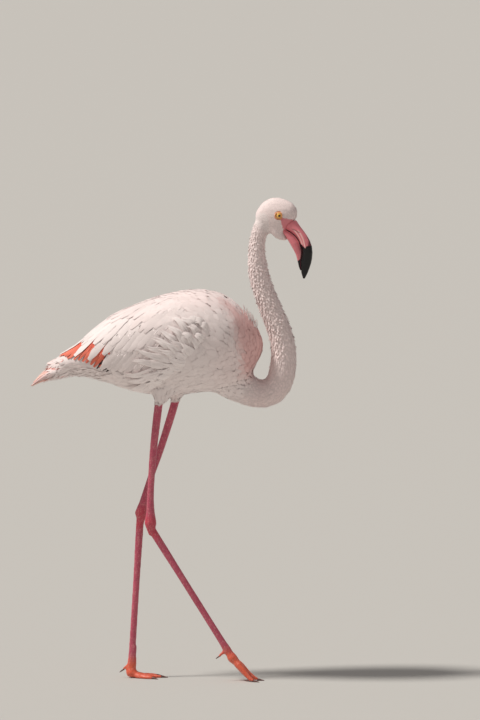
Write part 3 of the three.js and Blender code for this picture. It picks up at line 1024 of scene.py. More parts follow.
@dataclass
class Skin:
    """The one skin of the bird: feathered body, naked face and scaled legs. Sizes in mm."""

    plan: BodyPlan
    markings: Markings
    body_voxel: float = 4.0
    leg_voxel: float = 1.7
    smooth_rounds: int = 6
    shoulder_rounds: int = 24
    socket: float = 9.3
    chin_sag: float = 7.5
    socket_floor: float = 19.0
    breast_draw: float = 5.0
    neck_draw: float = 3.0
    leg_swell: float = 0.5
    toe_swell: float = 2.0
    feet: tuple[tuple[tuple[float, ...], tuple[float, ...]], ...] = (
        ((137.5, -27, 52), (0.73, 0, -0.68)),
        ((-92, 27, 12), (1, 0, 0)),
    )
    lid_rows: tuple[tuple[float, float], ...] = (
        (9.3, -0.4), (8.5, 2.2), (7.5, 4.1), (6.5, 5.0), (5.6, 5.0), (5.3, 4.4), (5.7, 3.2), (7.2, 0.8),
        (8.8, -1.2),
    )
    lid_steps: int = 40

    def build(self) -> tuple[bpy.types.Object, "Hide"]:
        """Builds the skin from the solids' own shapes, set in by the coat's depth.

        Returns:
            The skin, with its attributes and materials, and the ground for its feathers. The ground is read
            before body and legs are united, as the union orders its faces anew in each run.
        """
        body = self._body()
        legs = self._legs()
        ground = Hide([body, legs], self.plan)
        union = body.modifiers.new("legs", "BOOLEAN")
        union.operation = "UNION"
        union.solver = "EXACT"
        union.use_self = True
        union.object = legs
        skin = applied(body)
        bpy.data.objects.remove(legs)
        self._lids(skin)
        self._dress(skin)
        return skin, ground

    def _legs(self) -> bpy.types.Object:
        """Makes the bare part, with toe joints rounded into legs and fleshy toes.

        Returns:
            The legs.
        """
        legs = copy_of(BARE, "legs", self.leg_voxel * MM)
        relaxed(legs, 3)
        places, normals = points_of(legs)
        swell = np.full(len(places), self.leg_swell)
        for joint, toward in self.feet:
            off = places / MM - joint
            ahead = off @ np.array(toward)
            near = np.linalg.norm(off, axis=1) < 62
            swell += self.toe_swell * ease(2, 12, ahead) * ease(56, 30, ahead) * near
        normals[:, 2] *= ease(0, 5, places[:, 2] / MM)
        moved(legs, places + normals * swell[:, None] * MM)
        legs = evened(legs, self.leg_voxel * MM)
        relaxed(legs, 2)
        places, _ = points_of(legs)
        for joint, _ in self.feet:
            relaxed(legs, 40, 0.5 * ease(24, 13, np.linalg.norm(places / MM - joint, axis=1)))
        return legs

    def _parted(self, places: Array) -> Array:
        """Draws breast and neck apart, where the solids all but touch and real feathers leave a gap.

        Args:
            places: the solids' vertices in metres.

        Returns:
            Their new places.
        """
        x, _, z = places.T / MM
        off = x - np.interp(z, [700, 740, 770, 790, 810, 830, 860], [232, 217, 215.4, 208, 198.5, 186, 168])
        breast = -self.breast_draw * ease(-70, 0, off) * (off < 0)
        neck = self.neck_draw * ease(95, 10, off) * (off >= 0)
        places[:, 0] += (breast + neck) * ease(705, 745, z) * ease(905, 850, z) * MM
        return places

    def _body(self) -> bpy.types.Object:
        """Makes the feathered part: remeshed, finer at the head, smoothed and set in.

        Returns:
            The body.
        """
        body = copy_of(FLESH, "skin", self.body_voxel * MM, self._parted)
        shape = bmesh.new()
        shape.from_mesh(body.data)
        for height in (1000, 1008):
            near = [e for e in shape.edges if min(v.co.z for v in e.verts) > height * MM]
            bmesh.ops.subdivide_edges(shape, edges=near, cuts=1, use_grid_fill=True)
        bmesh.ops.triangulate(shape, faces=[f for f in shape.faces if len(f.verts) > 4])
        shape.to_mesh(body.data)
        shape.free()
        relaxed(body, self.smooth_rounds)
        places, _ = points_of(body)
        x, _, z = places.T / MM
        shoulder = ease(20, 50, x) * ease(215, 195, x) * ease(690, 720, z) * ease(930, 900, z)
        relaxed(body, self.shoulder_rounds, 0.5 * shoulder * (1 - self.plan.neck_share(places)))
        places, _ = points_of(body)
        moved(body, self._chinned(places))
        places, normals = points_of(body)
        places -= normals * self.plan.depth(places)[:, None]
        moved(body, places)
        relaxed(body, 3)
        places, _ = points_of(body)
        moved(body, self._socketed(places))
        body.data.shade_smooth()
        return body

    def _chinned(self, places: Array) -> Array:
        """Lets the soft chin sag below the jaw.

        Args:
            places: the skin's vertices in metres.

        Returns:
            Their new places.
        """
        local = self.plan.head.into(places)
        share = ease(220, 238, local[:, 0]) * ease(272, 262, local[:, 0])
        share *= ease(1028, 1010, local[:, 2]) * ease(960, 985, local[:, 2])
        local[:, 2] -= self.chin_sag * share
        return np.where((share > 0)[:, None], self.plan.head.out(local), places)

    def _socketed(self, places: Array) -> Array:
        """Presses a shallow socket for each eye.

        Args:
            places: the skin's vertices in metres.

        Returns:
            Their new places.
        """
        local = self.plan.head.into(places)
        eye = self.plan.eye_place
        around = np.hypot(local[:, 0] - eye[0], local[:, 2] - eye[2])
        pressed = ease(self.socket + 1.5, self.socket - 2.5, around) * (np.abs(local[:, 1]) > 8)
        floor = np.sign(local[:, 1]) * np.minimum(np.abs(local[:, 1]), self.socket_floor)
        local[:, 1] += (floor - local[:, 1]) * pressed
        return np.where((pressed > 0)[:, None], self.plan.head.out(local), places)

    def _lids(self, skin: bpy.types.Object) -> None:
        """Adds a rolled lid round each eye to the skin.

        Args:
            skin: the skin's object.
        """
        shape = bmesh.new()
        shape.from_mesh(skin.data)
        for side in (-1, 1):
            ring = bmesh.new()
            verts = [ring.verts.new((r, 0, h)) for r, h in self.lid_rows]
            edges = [ring.edges.new((verts[i], verts[(i + 1) % len(verts)])) for i in range(len(verts))]
            bmesh.ops.spin(
                ring, geom=verts + edges, cent=(0, 0, 0), axis=(0, 0, 1), angle=2 * math.pi,
                steps=self.lid_steps, use_merge=True,
            )
            bmesh.ops.remove_doubles(ring, verts=ring.verts, dist=1e-4)
            bmesh.ops.scale(ring, vec=(1.1, 1.1, 1.0), verts=ring.verts)
            for vert in ring.verts:
                turn = math.atan2(vert.co.y, vert.co.x)
                vert.co.x *= 1.10
                vert.co.y *= 0.94 + 0.05 * math.cos(2 * turn)
            turned = Matrix.Rotation(math.radians(90) * side * -1, 4, "X")
            bmesh.ops.transform(ring, matrix=turned, verts=ring.verts)
            eye = self.plan.eye_place * np.array([1, side, 1])
            for vert in ring.verts:
                vert.co = Vector(self.plan.head.out(np.array(vert.co) + eye))
            bmesh.ops.recalc_face_normals(ring, faces=ring.faces)
            spare = bpy.data.meshes.new("lid")
            ring.to_mesh(spare)
            ring.free()
            shape.from_mesh(spare)
            bpy.data.meshes.remove(spare)
        shape.to_mesh(skin.data)
        shape.free()
        skin.data.shade_smooth()

    def _dress(self, skin: bpy.types.Object) -> None:
        """Paints the markings and gives feathered, naked and scaled skin their finishes.

        Args:
            skin: the skin's object.
        """
        places, _ = points_of(skin)
        x, y, z = places.T
        painted(skin, "blush", self.markings.blush(places))
        painted(skin, "tone", np.full(len(places), 0.9))
        hock_z = np.where(y > 0, 363, 347) * MM
        painted(skin, "joint", 0.8 * ease(38 * MM, 12 * MM, np.abs(z - hock_z)))
        painted(skin, "foot", ease(np.where(y > 0, 58, 88) * MM, np.where(y > 0, 28, 52) * MM, z))
        local = self.plan.head.into(places)
        around = np.hypot(local[:, 0] - self.plan.eye_place[0], local[:, 2] - self.plan.eye_place[2])
        painted(skin, "lid", ease(11.0, 9.0, around) * (z > 1))
        bare = self.plan.bare_face(places) > 0.5
        legs = (z < 600 * MM) | ((z < 626 * MM) & (x < 100 * MM))
        skin.data.materials.clear()
        for finish in (Plumage("down over skin"), ScaledSkin(), FaceSkin()):
            skin.data.materials.append(finish.made())
        starts = np.zeros(len(skin.data.polygons), np.int32)
        skin.data.polygons.foreach_get("loop_start", starts)
        corners = np.zeros(len(skin.data.loops), np.int32)
        skin.data.loops.foreach_get("vertex_index", corners)
        first = corners[starts]
        kind = np.where(legs[first], 1, np.where(bare[first], 2, 0)).astype(np.int32)
        skin.data.polygons.foreach_set("material_index", kind)


# ---------------------------------------------------------------- feathers


class Hide:
    """The skin as a ground that feathers are laid on."""

    tried = 3.2  # dots drawn for each root that would fit

    def __init__(self, parts: Sequence[bpy.types.Object], plan: BodyPlan) -> None:
        """Builds the search tree of the skin's faces.

        Args:
            parts: the skin's meshes; feathers grow on the first, and may lie on the others too.
            plan: the bird's plan.
        """
        self.plan = plan
        self.faces: list[tuple[int, ...]] = []
        read, start = [points_of(part) for part in parts], 0
        for part, (places, _) in zip(parts, read):
            self.faces += [tuple(start + v for v in p.vertices) for p in part.data.polygons]
            start += len(places)
        self.places, self.normals = (np.concatenate(rows) for rows in zip(*read))
        self.growing = len(parts[0].data.polygons)
        self.tree = BVHTree.FromPolygons([Vector(p) for p in self.places], self.faces)

    def nearest(self, points: Array) -> tuple[Array, Array]:
        """Finds the nearest place on the skin.

        Args:
            points: places in metres.

        Returns:
            The places on the skin and its outward normals there.
        """
        found = [self.tree.find_nearest(Vector(p)) for p in points]
        spots = np.array([f[0] for f in found])
        index = [f[2] for f in found]
        normals = np.array([self.normals[list(self.faces[i])].mean(0) for i in index])
        return spots, unit(normals)

    def cast(self, starts: Array, ways: Array, reach: float) -> tuple[Array, Array]:
        """Shoots from inside the body to its skin.

        Args:
            starts: places inside, in metres.
            ways: directions.
            reach: the longest shot, in metres.

        Returns:
            The places hit, and which of the shots hit.
        """
        hits = np.array(starts, float)
        good = np.zeros(len(starts), bool)
        for i, (start, way) in enumerate(zip(starts, ways)):
            spot = self.tree.ray_cast(Vector(start), Vector(way), reach)[0]
            if spot is not None:
                hits[i], good[i] = spot, True
        return hits, good

    def scattered(self, gap: Callable[[Array], Array], keep: Callable[[Array], Array], seed: int) -> Array:
        """Spreads roots evenly over the part of the skin that is kept.

        Args:
            gap: gives the distance between neighbours at each place, in metres.
            keep: gives which places belong to the tract.
            seed: the seed of the spread.

        Returns:
            The roots' places.
        """
        rng = np.random.default_rng(seed)
        faces = self.faces[: self.growing]
        tris = np.array([(f[0], f[i], f[i + 1]) for f in faces for i in range(1, len(f) - 1)])
        a, b, c = (self.places[tris[:, i]] for i in range(3))
        area = np.linalg.norm(np.cross(b - a, c - a), axis=1) / 2
        middle = (a + b + c) / 3
        area = area * keep(middle)
        close = gap(middle)
        weight = area / close**2
        count = int(weight.sum() * self.tried)
        pick = rng.choice(len(tris), count, p=weight / weight.sum())
        u, v = rng.random(count), rng.random(count)
        flip = u + v > 1
        u[flip], v[flip] = 1 - u[flip], 1 - v[flip]
        dots = a[pick] + (b - a)[pick] * u[:, None] + (c - a)[pick] * v[:, None]
        dots = dots[keep(dots) > 0.5]
        away = gap(dots)
        cells: dict[tuple[int, int, int], list[int]] = {}
        size = float(away.max())
        kept: list[int] = []
        keys = np.floor(dots / size).astype(int)
        steps = list(product((-1, 0, 1), repeat=3))
        for i, (p, g, key) in enumerate(zip(dots, away, map(tuple, keys))):
            around = (cells.get((key[0] + dx, key[1] + dy, key[2] + dz), ()) for dx, dy, dz in steps)
            near = (dots[j] for cell in around for j in cell)
            if all((p[0] - q[0]) ** 2 + (p[1] - q[1]) ** 2 + (p[2] - q[2]) ** 2 >= g * g for q in near):
                cells.setdefault(key, []).append(i)
                kept.append(i)
        return dots[kept]


class Outline(Enum):
    """A feather's shape seen from above: widths from root to tip, as shares of its half width."""

    CONTOUR = (0.30, 0.85, 1.00, 0.90, 0.30)
    TUFT = (0.45, 1.00, 0.80, 0.10)
    STRAND = (0.50, 1.00, 0.85, 0.50, 0.06)
    LOCK = (0.35, 0.80, 1.00, 1.00, 0.92, 0.80, 0.62, 0.38, 0.05)
    STRAP = (0.45, 0.78, 0.94, 1.00, 1.00, 0.98, 0.93, 0.78, 0.34)
    COVERT = (0.40, 0.88, 1.00, 1.00, 0.86, 0.32)
    QUILL = (0.50, 0.80, 0.95, 1.00, 1.00, 0.92, 0.75, 0.42, 0.08)


@dataclass(frozen=True)
class Vane:
    """One feather as a thin closed leaf, to be laid many times. Sizes in mm, turns in degrees."""

    outline: Outline
    length: float
    width: float
    thick: float = 0.6
    camber: float = 0.10
    roll: float = 0.0
    sides: int = 4
    root_lift: float = 0.3
    tip_lift: float = 3.5
    rise: float = 1.4
    arch: float = 0.0
    lift_spread: float = 0.25
    sway: float = 0.0
    waves: float = 1.0
    length_spread: float = 0.15
    yaw: float = 8.0
    tone: float = 1.0
    tone_spread: float = 0.03
    soft: float = 0.8
    pink: float = 1.0
    sunk: float = 0.8

    def template(self) -> tuple[Array, list[tuple[int, ...]]]:
        """Builds the leaf as a tube of a few rings, closed at both ends.

        Returns:
            For each vertex its place across, its place through the thickness and its ring, and the faces.
        """
        rings = len(self.outline.value)
        shape = bmesh.new()
        bmesh.ops.create_cone(
            shape, cap_ends=True, cap_tris=False, segments=self.sides, radius1=1, radius2=1, depth=1
        )
        bmesh.ops.translate(shape, verts=shape.verts, vec=(0, 0, 0.5))
        long = [e for e in shape.edges if abs(e.verts[0].co.z - e.verts[1].co.z) > 0.5]
        bmesh.ops.subdivide_edges(shape, edges=long, cuts=rings - 2)
        widest = max(v.co.x for v in shape.verts)
        shape.verts.index_update()
        verts = np.array([(v.co.x / widest, v.co.y, round(v.co.z * (rings - 1))) for v in shape.verts])
        faces = [tuple(v.index for v in f.verts) for f in shape.faces]
        shape.free()
        return verts, faces


@dataclass
class Laid:
    """Feathers of one kind, laid: their vertices, their faces and what their material reads."""

    places: Array
    faces: list[tuple[int, ...]]
    each: int
    blush: Array
    tone: Array
    vane: Array
    spots: Array
    over: Array
    under: Array
    upper: list[bool]


@dataclass
class Plume:
    """Lays feathers on the hide and joins them to pieces."""

    hide: Hide
    markings: Markings
    rng: np.random.Generator = field(default_factory=lambda: np.random.default_rng(7))
    barb_step: float = 3.7  # each feather starts its barbs at another phase
    edge_dark: float = 0.85  # how much less an underside's edges are turned away than its middle
    edge_light: float = 0.6  # how far a top's edges are turned outwards
    gathered: float = 0.72  # how far a lock's strands have run together at its tip

    def walk(
        self, roots: Array, rings: int, lengths: Array, yaw: Array, wanted: Array | None = None
    ) -> tuple[Array, Array]:
        """Leads each feather's shaft along the skin, down the lie of the coat.

        Args:
            roots: where the feathers start, in metres.
            rings: how many places each shaft has.
            lengths: each one's length in metres.
            yaw: each one's turn from the lie, in radians.
            wanted: ways of their own, where these don't follow the lie.

        Returns:
            The shafts' places and normals, by feather and ring.
        """
        places = np.empty((len(roots), rings, 3))
        normals = np.empty_like(places)
        spots, up = self.hide.nearest(roots)
        for ring in range(rings):
            places[:, ring], normals[:, ring] = spots, up
            if ring == rings - 1:
                break
            way = self.hide.plan.flow(spots) if wanted is None else wanted
            way = unit(way - np.sum(way * up, 1)[:, None] * up)
            side = np.cross(up, way)
            way = way * np.cos(yaw)[:, None] + side * np.sin(yaw)[:, None]
            spots, up = self.hide.nearest(spots + way * (lengths / (rings - 1))[:, None])
        return places, normals

    def laid(
        self, name: str, vane: Vane, shafts: Array, normals: Array, size: Array | None = None, bunch: int = 1
    ) -> Laid:
        """Puts the feather's leaf on every shaft.

        Args:
            name: what the feathers are.
            vane: the feather.
            shafts: places by feather and ring, on the skin.
            normals: the skin's normals there.
            size: each feather's size against the vane's, or 1 for all.
            bunch: how many neighbours lift and sway together.

        Returns:
            The feathers.
        """
        count, rings = shafts.shape[:2]
        own_lift, own_phase = np.repeat(self.rng.random((-(-count // bunch), 2)), bunch, 0)[:count].T
        size = np.ones(count) if size is None else size
        verts, faces = vane.template()
        ring = verts[:, 2].astype(int)
        t = np.linspace(0, 1, rings)
        lift = (vane.root_lift + (vane.tip_lift - vane.root_lift) * t**vane.rise) * MM
        lift = lift + vane.arch * MM * np.sin(math.pi * t**1.15)
        lift[0] = -vane.sunk * MM
        spread = 1 + vane.lift_spread * (2 * own_lift - 1)
        line = shafts + normals * (lift[None] * (spread * size)[:, None])[..., None]
        side = unit(np.cross(normals, np.gradient(line, axis=1)))
        if vane.sway:
            phase = (own_phase + self.rng.normal(0, 0.05, count))[:, None] * 2 * math.pi
            swing = np.sin(phase + t[None] * vane.waves * 2 * math.pi) - np.sin(phase)
            line = line + side * (swing * t[None] * vane.sway * MM * size[:, None])[..., None]
        tangent = unit(np.gradient(line, axis=1))
        side = unit(np.cross(normals, tangent))
        up = np.cross(tangent, side)
        half = np.array(vane.outline.value)[None] * (vane.width / 2 * MM) * size[:, None]
        across, through = verts[:, 0], verts[:, 1]
        wide = half[:, ring] * across[None]
        bend = half[:, ring] * vane.camber * across[None] ** 2 - wide * math.tan(math.radians(vane.roll))
        high = through[None] * vane.thick / 2 * MM - bend
        places = line[:, ring] + side[:, ring] * wide[..., None] + up[:, ring] * high[..., None]
        tone = vane.tone * np.clip(1 + self.rng.normal(0, vane.tone_spread, count), 0.8, 1.08)
        long = np.linalg.norm(shafts[:, -1] - shafts[:, 0], axis=1) / MM
        own = np.arange(count)[:, None] * self.barb_step
        ends = np.repeat(t[ring][None], count, 0)
        patch = np.stack([np.repeat(across[None] / 2, count, 0), ends - 0.5], 2) * BAKE_PATCH
        spot = self.hide.plan.unwrap(shafts[:, 0])[:, None]
        round_off = side[:, ring] * across[None, :, None]
        shade = normals[:, ring] * vane.soft + up[:, ring] * (1 - vane.soft)
        hidden = (1 - self.edge_dark * np.abs(across))[None, :, None]
        LOG.info("%s: %d feathers", name, count)
        return Laid(
            places=places.reshape(-1, 3), faces=faces, each=len(verts),
            blush=np.repeat(vane.pink * self.markings.blush(shafts[:, rings // 2]), len(verts)),
            tone=np.repeat(tone, len(verts)),
            vane=np.stack([wide / MM + own, ends * long[:, None], ends], 2).reshape(-1, 3),
            spots=(spot + patch).reshape(-1, 2),
            over=unit(round_off * self.edge_light * (1 - vane.soft) + shade).reshape(-1, 3),
            under=unit(round_off - shade * hidden).reshape(-1, 3),
            upper=[sum(through[i] for i in face) > -0.01 for face in faces],
        )

    def spread(self, name: str, vane: Vane, roots: Array, size: Array | None = None) -> Laid:
        """Lays one feather at each root, with small differences from one to the next.

        Args:
            name: what the feathers are.
            vane: the feather.
            roots: where they start.
            size: each one's size against the vane's.

        Returns:
            The feathers.
        """
        count = len(roots)
        size = np.ones(count) if size is None else size
        lengths = vane.length * MM * size * (1 + self.rng.normal(0, vane.length_spread, count))
        yaw = np.radians(self.rng.normal(0, vane.yaw, count))
        shafts, normals = self.walk(roots, len(vane.outline.value), lengths, yaw)
        return self.laid(name, vane, shafts, normals, size)

    def locks(
        self, name: str, vane: Vane, starts: Array, ends: Array, strands: int, width: float, bends: Array
    ) -> Laid:
        """Lays locks: strands that start side by side and run together at the tip.

        Args:
            name: what the locks are.
            vane: one strand.
            starts: each lock's root on the skin, in metres.
            ends: each lock's tip.
            strands: how many strands a lock has.
            width: how wide a lock is at its root, in mm.
            bends: how far each lock's middle stands off to its right, in mm.

        Returns:
            The strands.
        """
        count = len(starts) * strands
        way = np.repeat(ends - starts, strands, 0)
        root = np.repeat(starts, strands, 0)
        _, up = self.hide.nearest(root)
        side = unit(np.cross(up, way))
        off = (np.tile(np.linspace(-0.5, 0.5, strands), len(starts)) * width * MM)[:, None]
        root = root + side * off
        tip = root - side * off * self.gathered + way * self.rng.uniform(0.78, 1.06, count)[:, None]
        rings = len(vane.outline.value)
        t = np.linspace(0, 1, rings)[None, :, None]
        line = root[:, None] * (1 - t) + tip[:, None] * t
        bow = np.repeat(bends, strands)[:, None, None] * MM * 4 * t * (1 - t)
        line = line + bow * unit(side)[:, None]
        places, normals = (rows.reshape(line.shape) for rows in self.hide.nearest(line.reshape(-1, 3)))
        return self.laid(name, vane, places, normals, bunch=strands)

    def joined(
        self, name: str, groups: Sequence[Laid], finish: bpy.types.Material
    ) -> bpy.types.Object:
        """Joins groups of feathers into one piece of the model.

        Args:
            name: the piece's name.
            groups: the feathers.
            finish: their material.

        Returns:
            The piece, riding on the body.
        """
        faces: list[Array] = []
        shades: list[Array] = []
        start = 0
        for group in groups:
            offsets = np.arange(0, len(group.places), group.each)
            for face, upper in zip(group.faces, group.upper):
                corners = (offsets[:, None] + np.array(face)[None]).ravel()
                faces.append((start + corners).reshape(-1, len(face)))
                shades.append((group.over if upper else group.under)[corners])
            start += len(group.places)
        loops = np.concatenate([f.ravel() for f in faces])
        sizes = np.concatenate([np.full(len(f), f.shape[1]) for f in faces])
        mesh = bpy.data.meshes.new(name)
        mesh.vertices.add(start)
        mesh.vertices.foreach_set("co", np.concatenate([g.places for g in groups]).astype(np.float32).ravel())
        mesh.loops.add(len(loops))
        mesh.loops.foreach_set("vertex_index", loops.astype(np.int32))
        mesh.polygons.add(len(sizes))
        mesh.polygons.foreach_set("loop_start", np.r_[0, np.cumsum(sizes)[:-1]].astype(np.int32))
        mesh.update(calc_edges=True)
        spots = np.concatenate([g.spots for g in groups])
        layer = mesh.uv_layers.new(name=BAKE_MAP)
        layer.data.foreach_set("uv", spots[loops].astype(np.float32).ravel())
        piece = bpy.data.objects.new(name, mesh)
        bpy.context.scene.collection.objects.link(piece)
        painted(piece, "blush", np.concatenate([g.blush for g in groups]))
        painted(piece, "tone", np.concatenate([g.tone for g in groups]))
        vanes = mesh.attributes.new("vane", "FLOAT_VECTOR", "POINT")
        vanes.data.foreach_set("vector", np.concatenate([g.vane for g in groups]).astype(np.float32).ravel())
        mesh.shade_smooth()
        mesh.normals_split_custom_set(np.concatenate(shades).tolist())
        mesh.materials.append(finish)
        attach(piece, BODY)
        LOG.info("%s: %d triangles", name, int(sum(s - 2 for s in sizes)))
        return piece


@dataclass(frozen=True)
class WingSheet:
    """The folded wing as a fan of lines from shoulder to edge, top line first: x in mm, turns in degrees."""

    lines: tuple[tuple[tuple[float, float], ...], ...] = (
        ((70, 4), (-40, 5), (-130, 6), (-200, 9), (-264, 18)),
        ((60, 11), (-55, 16), (-120, 29), (-180, 50), (-238, 74)),
        ((60, 18), (-15, 25), (-75, 51), (-122, 86), (-160, 120)),
        ((70, 27), (28, 42), (-12, 68), (-52, 100), (-84, 129)),
    )
    fine: int = 49
    window: int = 11

    def table(self) -> Array:
        """Spreads the fan over a fine grid of lines and stations.

        Returns:
            x in metres and the angle in radians, by line and station.
        """
        grid = np.array(self.lines) * np.array([MM, math.pi / 180])
        grid = softened(grid, self.fine, self.window)
        return softened(grid.transpose(1, 0, 2), self.fine, self.window).transpose(1, 0, 2)

    def at(self, across: Array, along: Array) -> tuple[Array, Array]:
        """Reads the fan.

        Args:
            across: from 0 at the top line to 1 at the lowest.
            along: from 0 at the shoulder to 1 at the wing's edge, or a little further.

        Returns:
            x in metres and the angle from the back in radians.
        """
        table, last = self.table(), self.fine - 1
        u, v = np.clip(across, 0, 1) * last, np.clip(along, 0, 1) * last
        i, j = np.minimum(u.astype(int), last - 1), np.minimum(v.astype(int), last - 1)
        a, b = (u - i)[..., None], (v - j)[..., None]
        low = table[i, j] * (1 - b) + table[i, j + 1] * b
        high = table[i + 1, j] * (1 - b) + table[i + 1, j + 1] * b
        spot = low * (1 - a) + high * a
        beyond = np.maximum(along - 1, 0)[..., None] * last
        slope = (table[i, last] - table[i, last - 1]) * (1 - a)
        slope = slope + (table[i + 1, last] - table[i + 1, last - 1]) * a
        spot = spot + beyond * slope
        return spot[..., 0], spot[..., 1]


class WingRow(Enum):
    """The wing's rows of long feathers, from the lowest layer up: count, first and last place across the fan,
    start and end along it, how far the ends differ, and the vane."""

    DARK_QUILLS = (
        4, 0.62, 0.72, 0.72, 0.99, 0.0,
        Vane(Outline.QUILL, 0, 12, root_lift=1.0, tip_lift=1.6, roll=3, soft=0.5),
    )
    CORAL_COVERTS = (
        16, 0.06, 0.62, 0.60, 0.97, 0.012,
        Vane(Outline.COVERT, 0, 13, root_lift=1.2, tip_lift=2.2, roll=4, soft=0.5, tone_spread=0.12),
    )
    LONG_TERTIALS = (
        15, 0.02, 0.99, 0.40, 0.0, 0.0,
        Vane(Outline.STRAP, 0, 23, sides=8, root_lift=1.6, tip_lift=3.4, roll=4, thick=0.5, soft=0.65),
    )
    SHORT_TERTIALS = (
        13, 0.05, 0.96, 0.28, 0.76, 0.035,
        Vane(Outline.STRAP, 0, 23, sides=8, root_lift=2.2, tip_lift=3.6, roll=3, thick=0.5, soft=0.75),
    )
    SCAPULARS = (
        15, 0.03, 0.98, 0.12, 0.54, 0.05,
        Vane(Outline.STRAP, 0, 20, sides=8, root_lift=2.8, tip_lift=4.2, roll=2, thick=0.4, soft=0.85),
    )


@dataclass
class Coat:
    """All feathers of the bird, tract by tract. Places in mm."""

    hide: Hide
    plan: BodyPlan
    markings: Markings
    ruffled_from: float = 0.45
    neck_gap: float = 3.9
    head_gap: float = 2.4
    body_gap: float = 6.2
    rump_gap: float = 5.4
    thigh_gap: float = 4.6
    mantle_gap: float = 7.2
    tail_quills: int = 9
    tufts: int = 64
    wing_edge: tuple[float, ...] = (
        0.95, 0.90, 0.78, 0.80, 0.80, 0.94, 0.79, 0.94, 0.84, 0.98, 0.95, 0.97, 0.95, 0.97, 0.96,
    )
    flank_rows: tuple[tuple[float, float, int, float], ...] = (
        (0.2, 1.0, 13, 8.0), (-0.1, 0.62, 13, 6.0), (-0.34, 0.2, 12, 4.0),
    )
    flank_locks: tuple[tuple[float, float, float, float], ...] = (
        (72, 809, 38, 821), (58, 786, 16, 820), (43, 766, -2, 809), (29, 755, -20, 798), (20, 744, -45, 780),
        (11, 730, -63, 753), (-2, 719, -92, 730), (-18, 705, -110, 692), (-29, 692, -97, 672),
        (-36, 681, -74, 665),
    )

    def build(self) -> list[bpy.types.Object]:
        """Builds every tract.

        Returns:
            The coat's pieces.
        """
        plume = Plume(self.hide, self.markings)
        white = Plumage("body feathers, soft barbs").made()
        webbed = Plumage("wing feathers, closed vanes", relief=0.35, roughness=0.6, sheen=0.1).made()
        pieces = [self._neck(plume, white), self._head(plume, white), *self._body(plume, white)]
        pieces += [self._thighs(plume, white), self._rump(plume, white), self._tail(plume)]
        pieces += [self._wings(plume, webbed), self._mantle(plume, white), self._flanks(plume, white)]
        pieces += self._dyed(plume)
        return pieces

    def _roots(self, gap: float, keep: Callable[[Array], Array], seed: int) -> Array:
        """Spreads roots an even gap apart, in mm, where a tract's feathers grow."""
        return self.hide.scattered(lambda p: np.full(len(p), gap * MM), keep, seed)

    def _neck(self, plume: Plume, white: bpy.types.Material) -> bpy.types.Object:
        """Lays the short ruffled feathers of the neck.

        Args:
            plume: the layer of feathers.
            white: the body feathers' material.

        Returns:
            The piece.
        """

        def keep(p: Array) -> Array:
            """Gives which points the tract covers."""
            return (self.plan.neck_share(p) > 0.4) & (self.plan.head_share(p) < 0.5)

        roots = self._roots(self.neck_gap, keep, 11)
        vane = Vane(
            Outline.TUFT, 7.5, 5.0, tip_lift=3.0, rise=1.6, yaw=26, lift_spread=0.5, tone_spread=0.04,
            thick=0.4, soft=0.5,
        )
        size = 0.6 + 0.4 * ease(0, -55, self.plan.past_nape(roots))
        share, _, _ = self.plan.on_neck(roots)
        ruffled = share + plume.rng.normal(0, 0.05, len(roots)) > self.ruffled_from
        sleek = replace(vane, tip_lift=1.7, yaw=10.0, soft=0.85, lift_spread=0.3)
        groups = [
            plume.spread("ruffled neck", vane, roots[ruffled], size[ruffled]),
            plume.spread("sleek neck", sleek, roots[~ruffled], size[~ruffled]),
        ]
        return plume.joined("neck_feathers", groups, white)

    def _head(self, plume: Plume, white: bpy.types.Material) -> bpy.types.Object:
        """Lays the smallest feathers, round the bare face.

        Args:
            plume: the layer of feathers.
            white: the body feathers' material.

        Returns:
            The piece.
        """

        def keep(p: Array) -> Array:
            """Gives which points the tract covers."""
            return (self.plan.head_share(p) >= 0.5) & (self.plan.bare_face(p) < 0.5)

        roots = self._roots(self.head_gap, keep, 12)
        vane = Vane(Outline.TUFT, 5.2, 3.4, tip_lift=0.9, root_lift=0.1, yaw=9, thick=0.3, soft=0.85)
        return plume.joined("head_feathers", [plume.spread("head", vane, roots)], white)

    def _on_body(self, places: Array) -> Array:
        """Gives which places have the body's contour feathers.

        Args:
            places: points in metres.

        Returns:
            Which points have them.
        """
        own = (self.plan.neck_share(places) <= 0.5) & (self.plan.thigh_share(places) < 0.5)
        own &= (self.plan.wing_share(places) < 0.5) & (self.plan.head_share(places) < 0.5)
        return own & (places[:, 2] > 618 * MM) & (places[:, 2] < 930 * MM) & (places[:, 0] > -266 * MM)

    def _on_rump(self, places: Array) -> Array:
        """Gives which places behind the legs have loose fluff."""
        return places[:, 0] < -95 * MM - 40 * MM * ease(710 * MM, 680 * MM, places[:, 2])

    def _body(self, plume: Plume, white: bpy.types.Material) -> list[bpy.types.Object]:
        """Lays the soft contour feathers of breast and belly.

        Args:
            plume: the layer of feathers.
            white: the body feathers' material.

        Returns:
            The two pieces.
        """
        pieces = []
        vane = Vane(
            Outline.CONTOUR, 25, 13, tip_lift=2.2, root_lift=0.5, rise=1.0, yaw=5, camber=0.05, thick=0.35,
            tone_spread=0.02, soft=0.88,
        )
        for name, seed, ahead in (("breast_feathers", 21, True), ("belly_feathers", 22, False)):

            def keep(p: Array) -> Array:
                """Gives which points the tract covers."""
                part = p[:, 0] > 0.05 if ahead else (p[:, 0] <= 0.05) & ~self._on_rump(p)
                return self._on_body(p) & part

            roots = self._roots(self.body_gap, keep, seed)
            pieces.append(plume.joined(name, [plume.spread(name, vane, roots)], white))
        return pieces

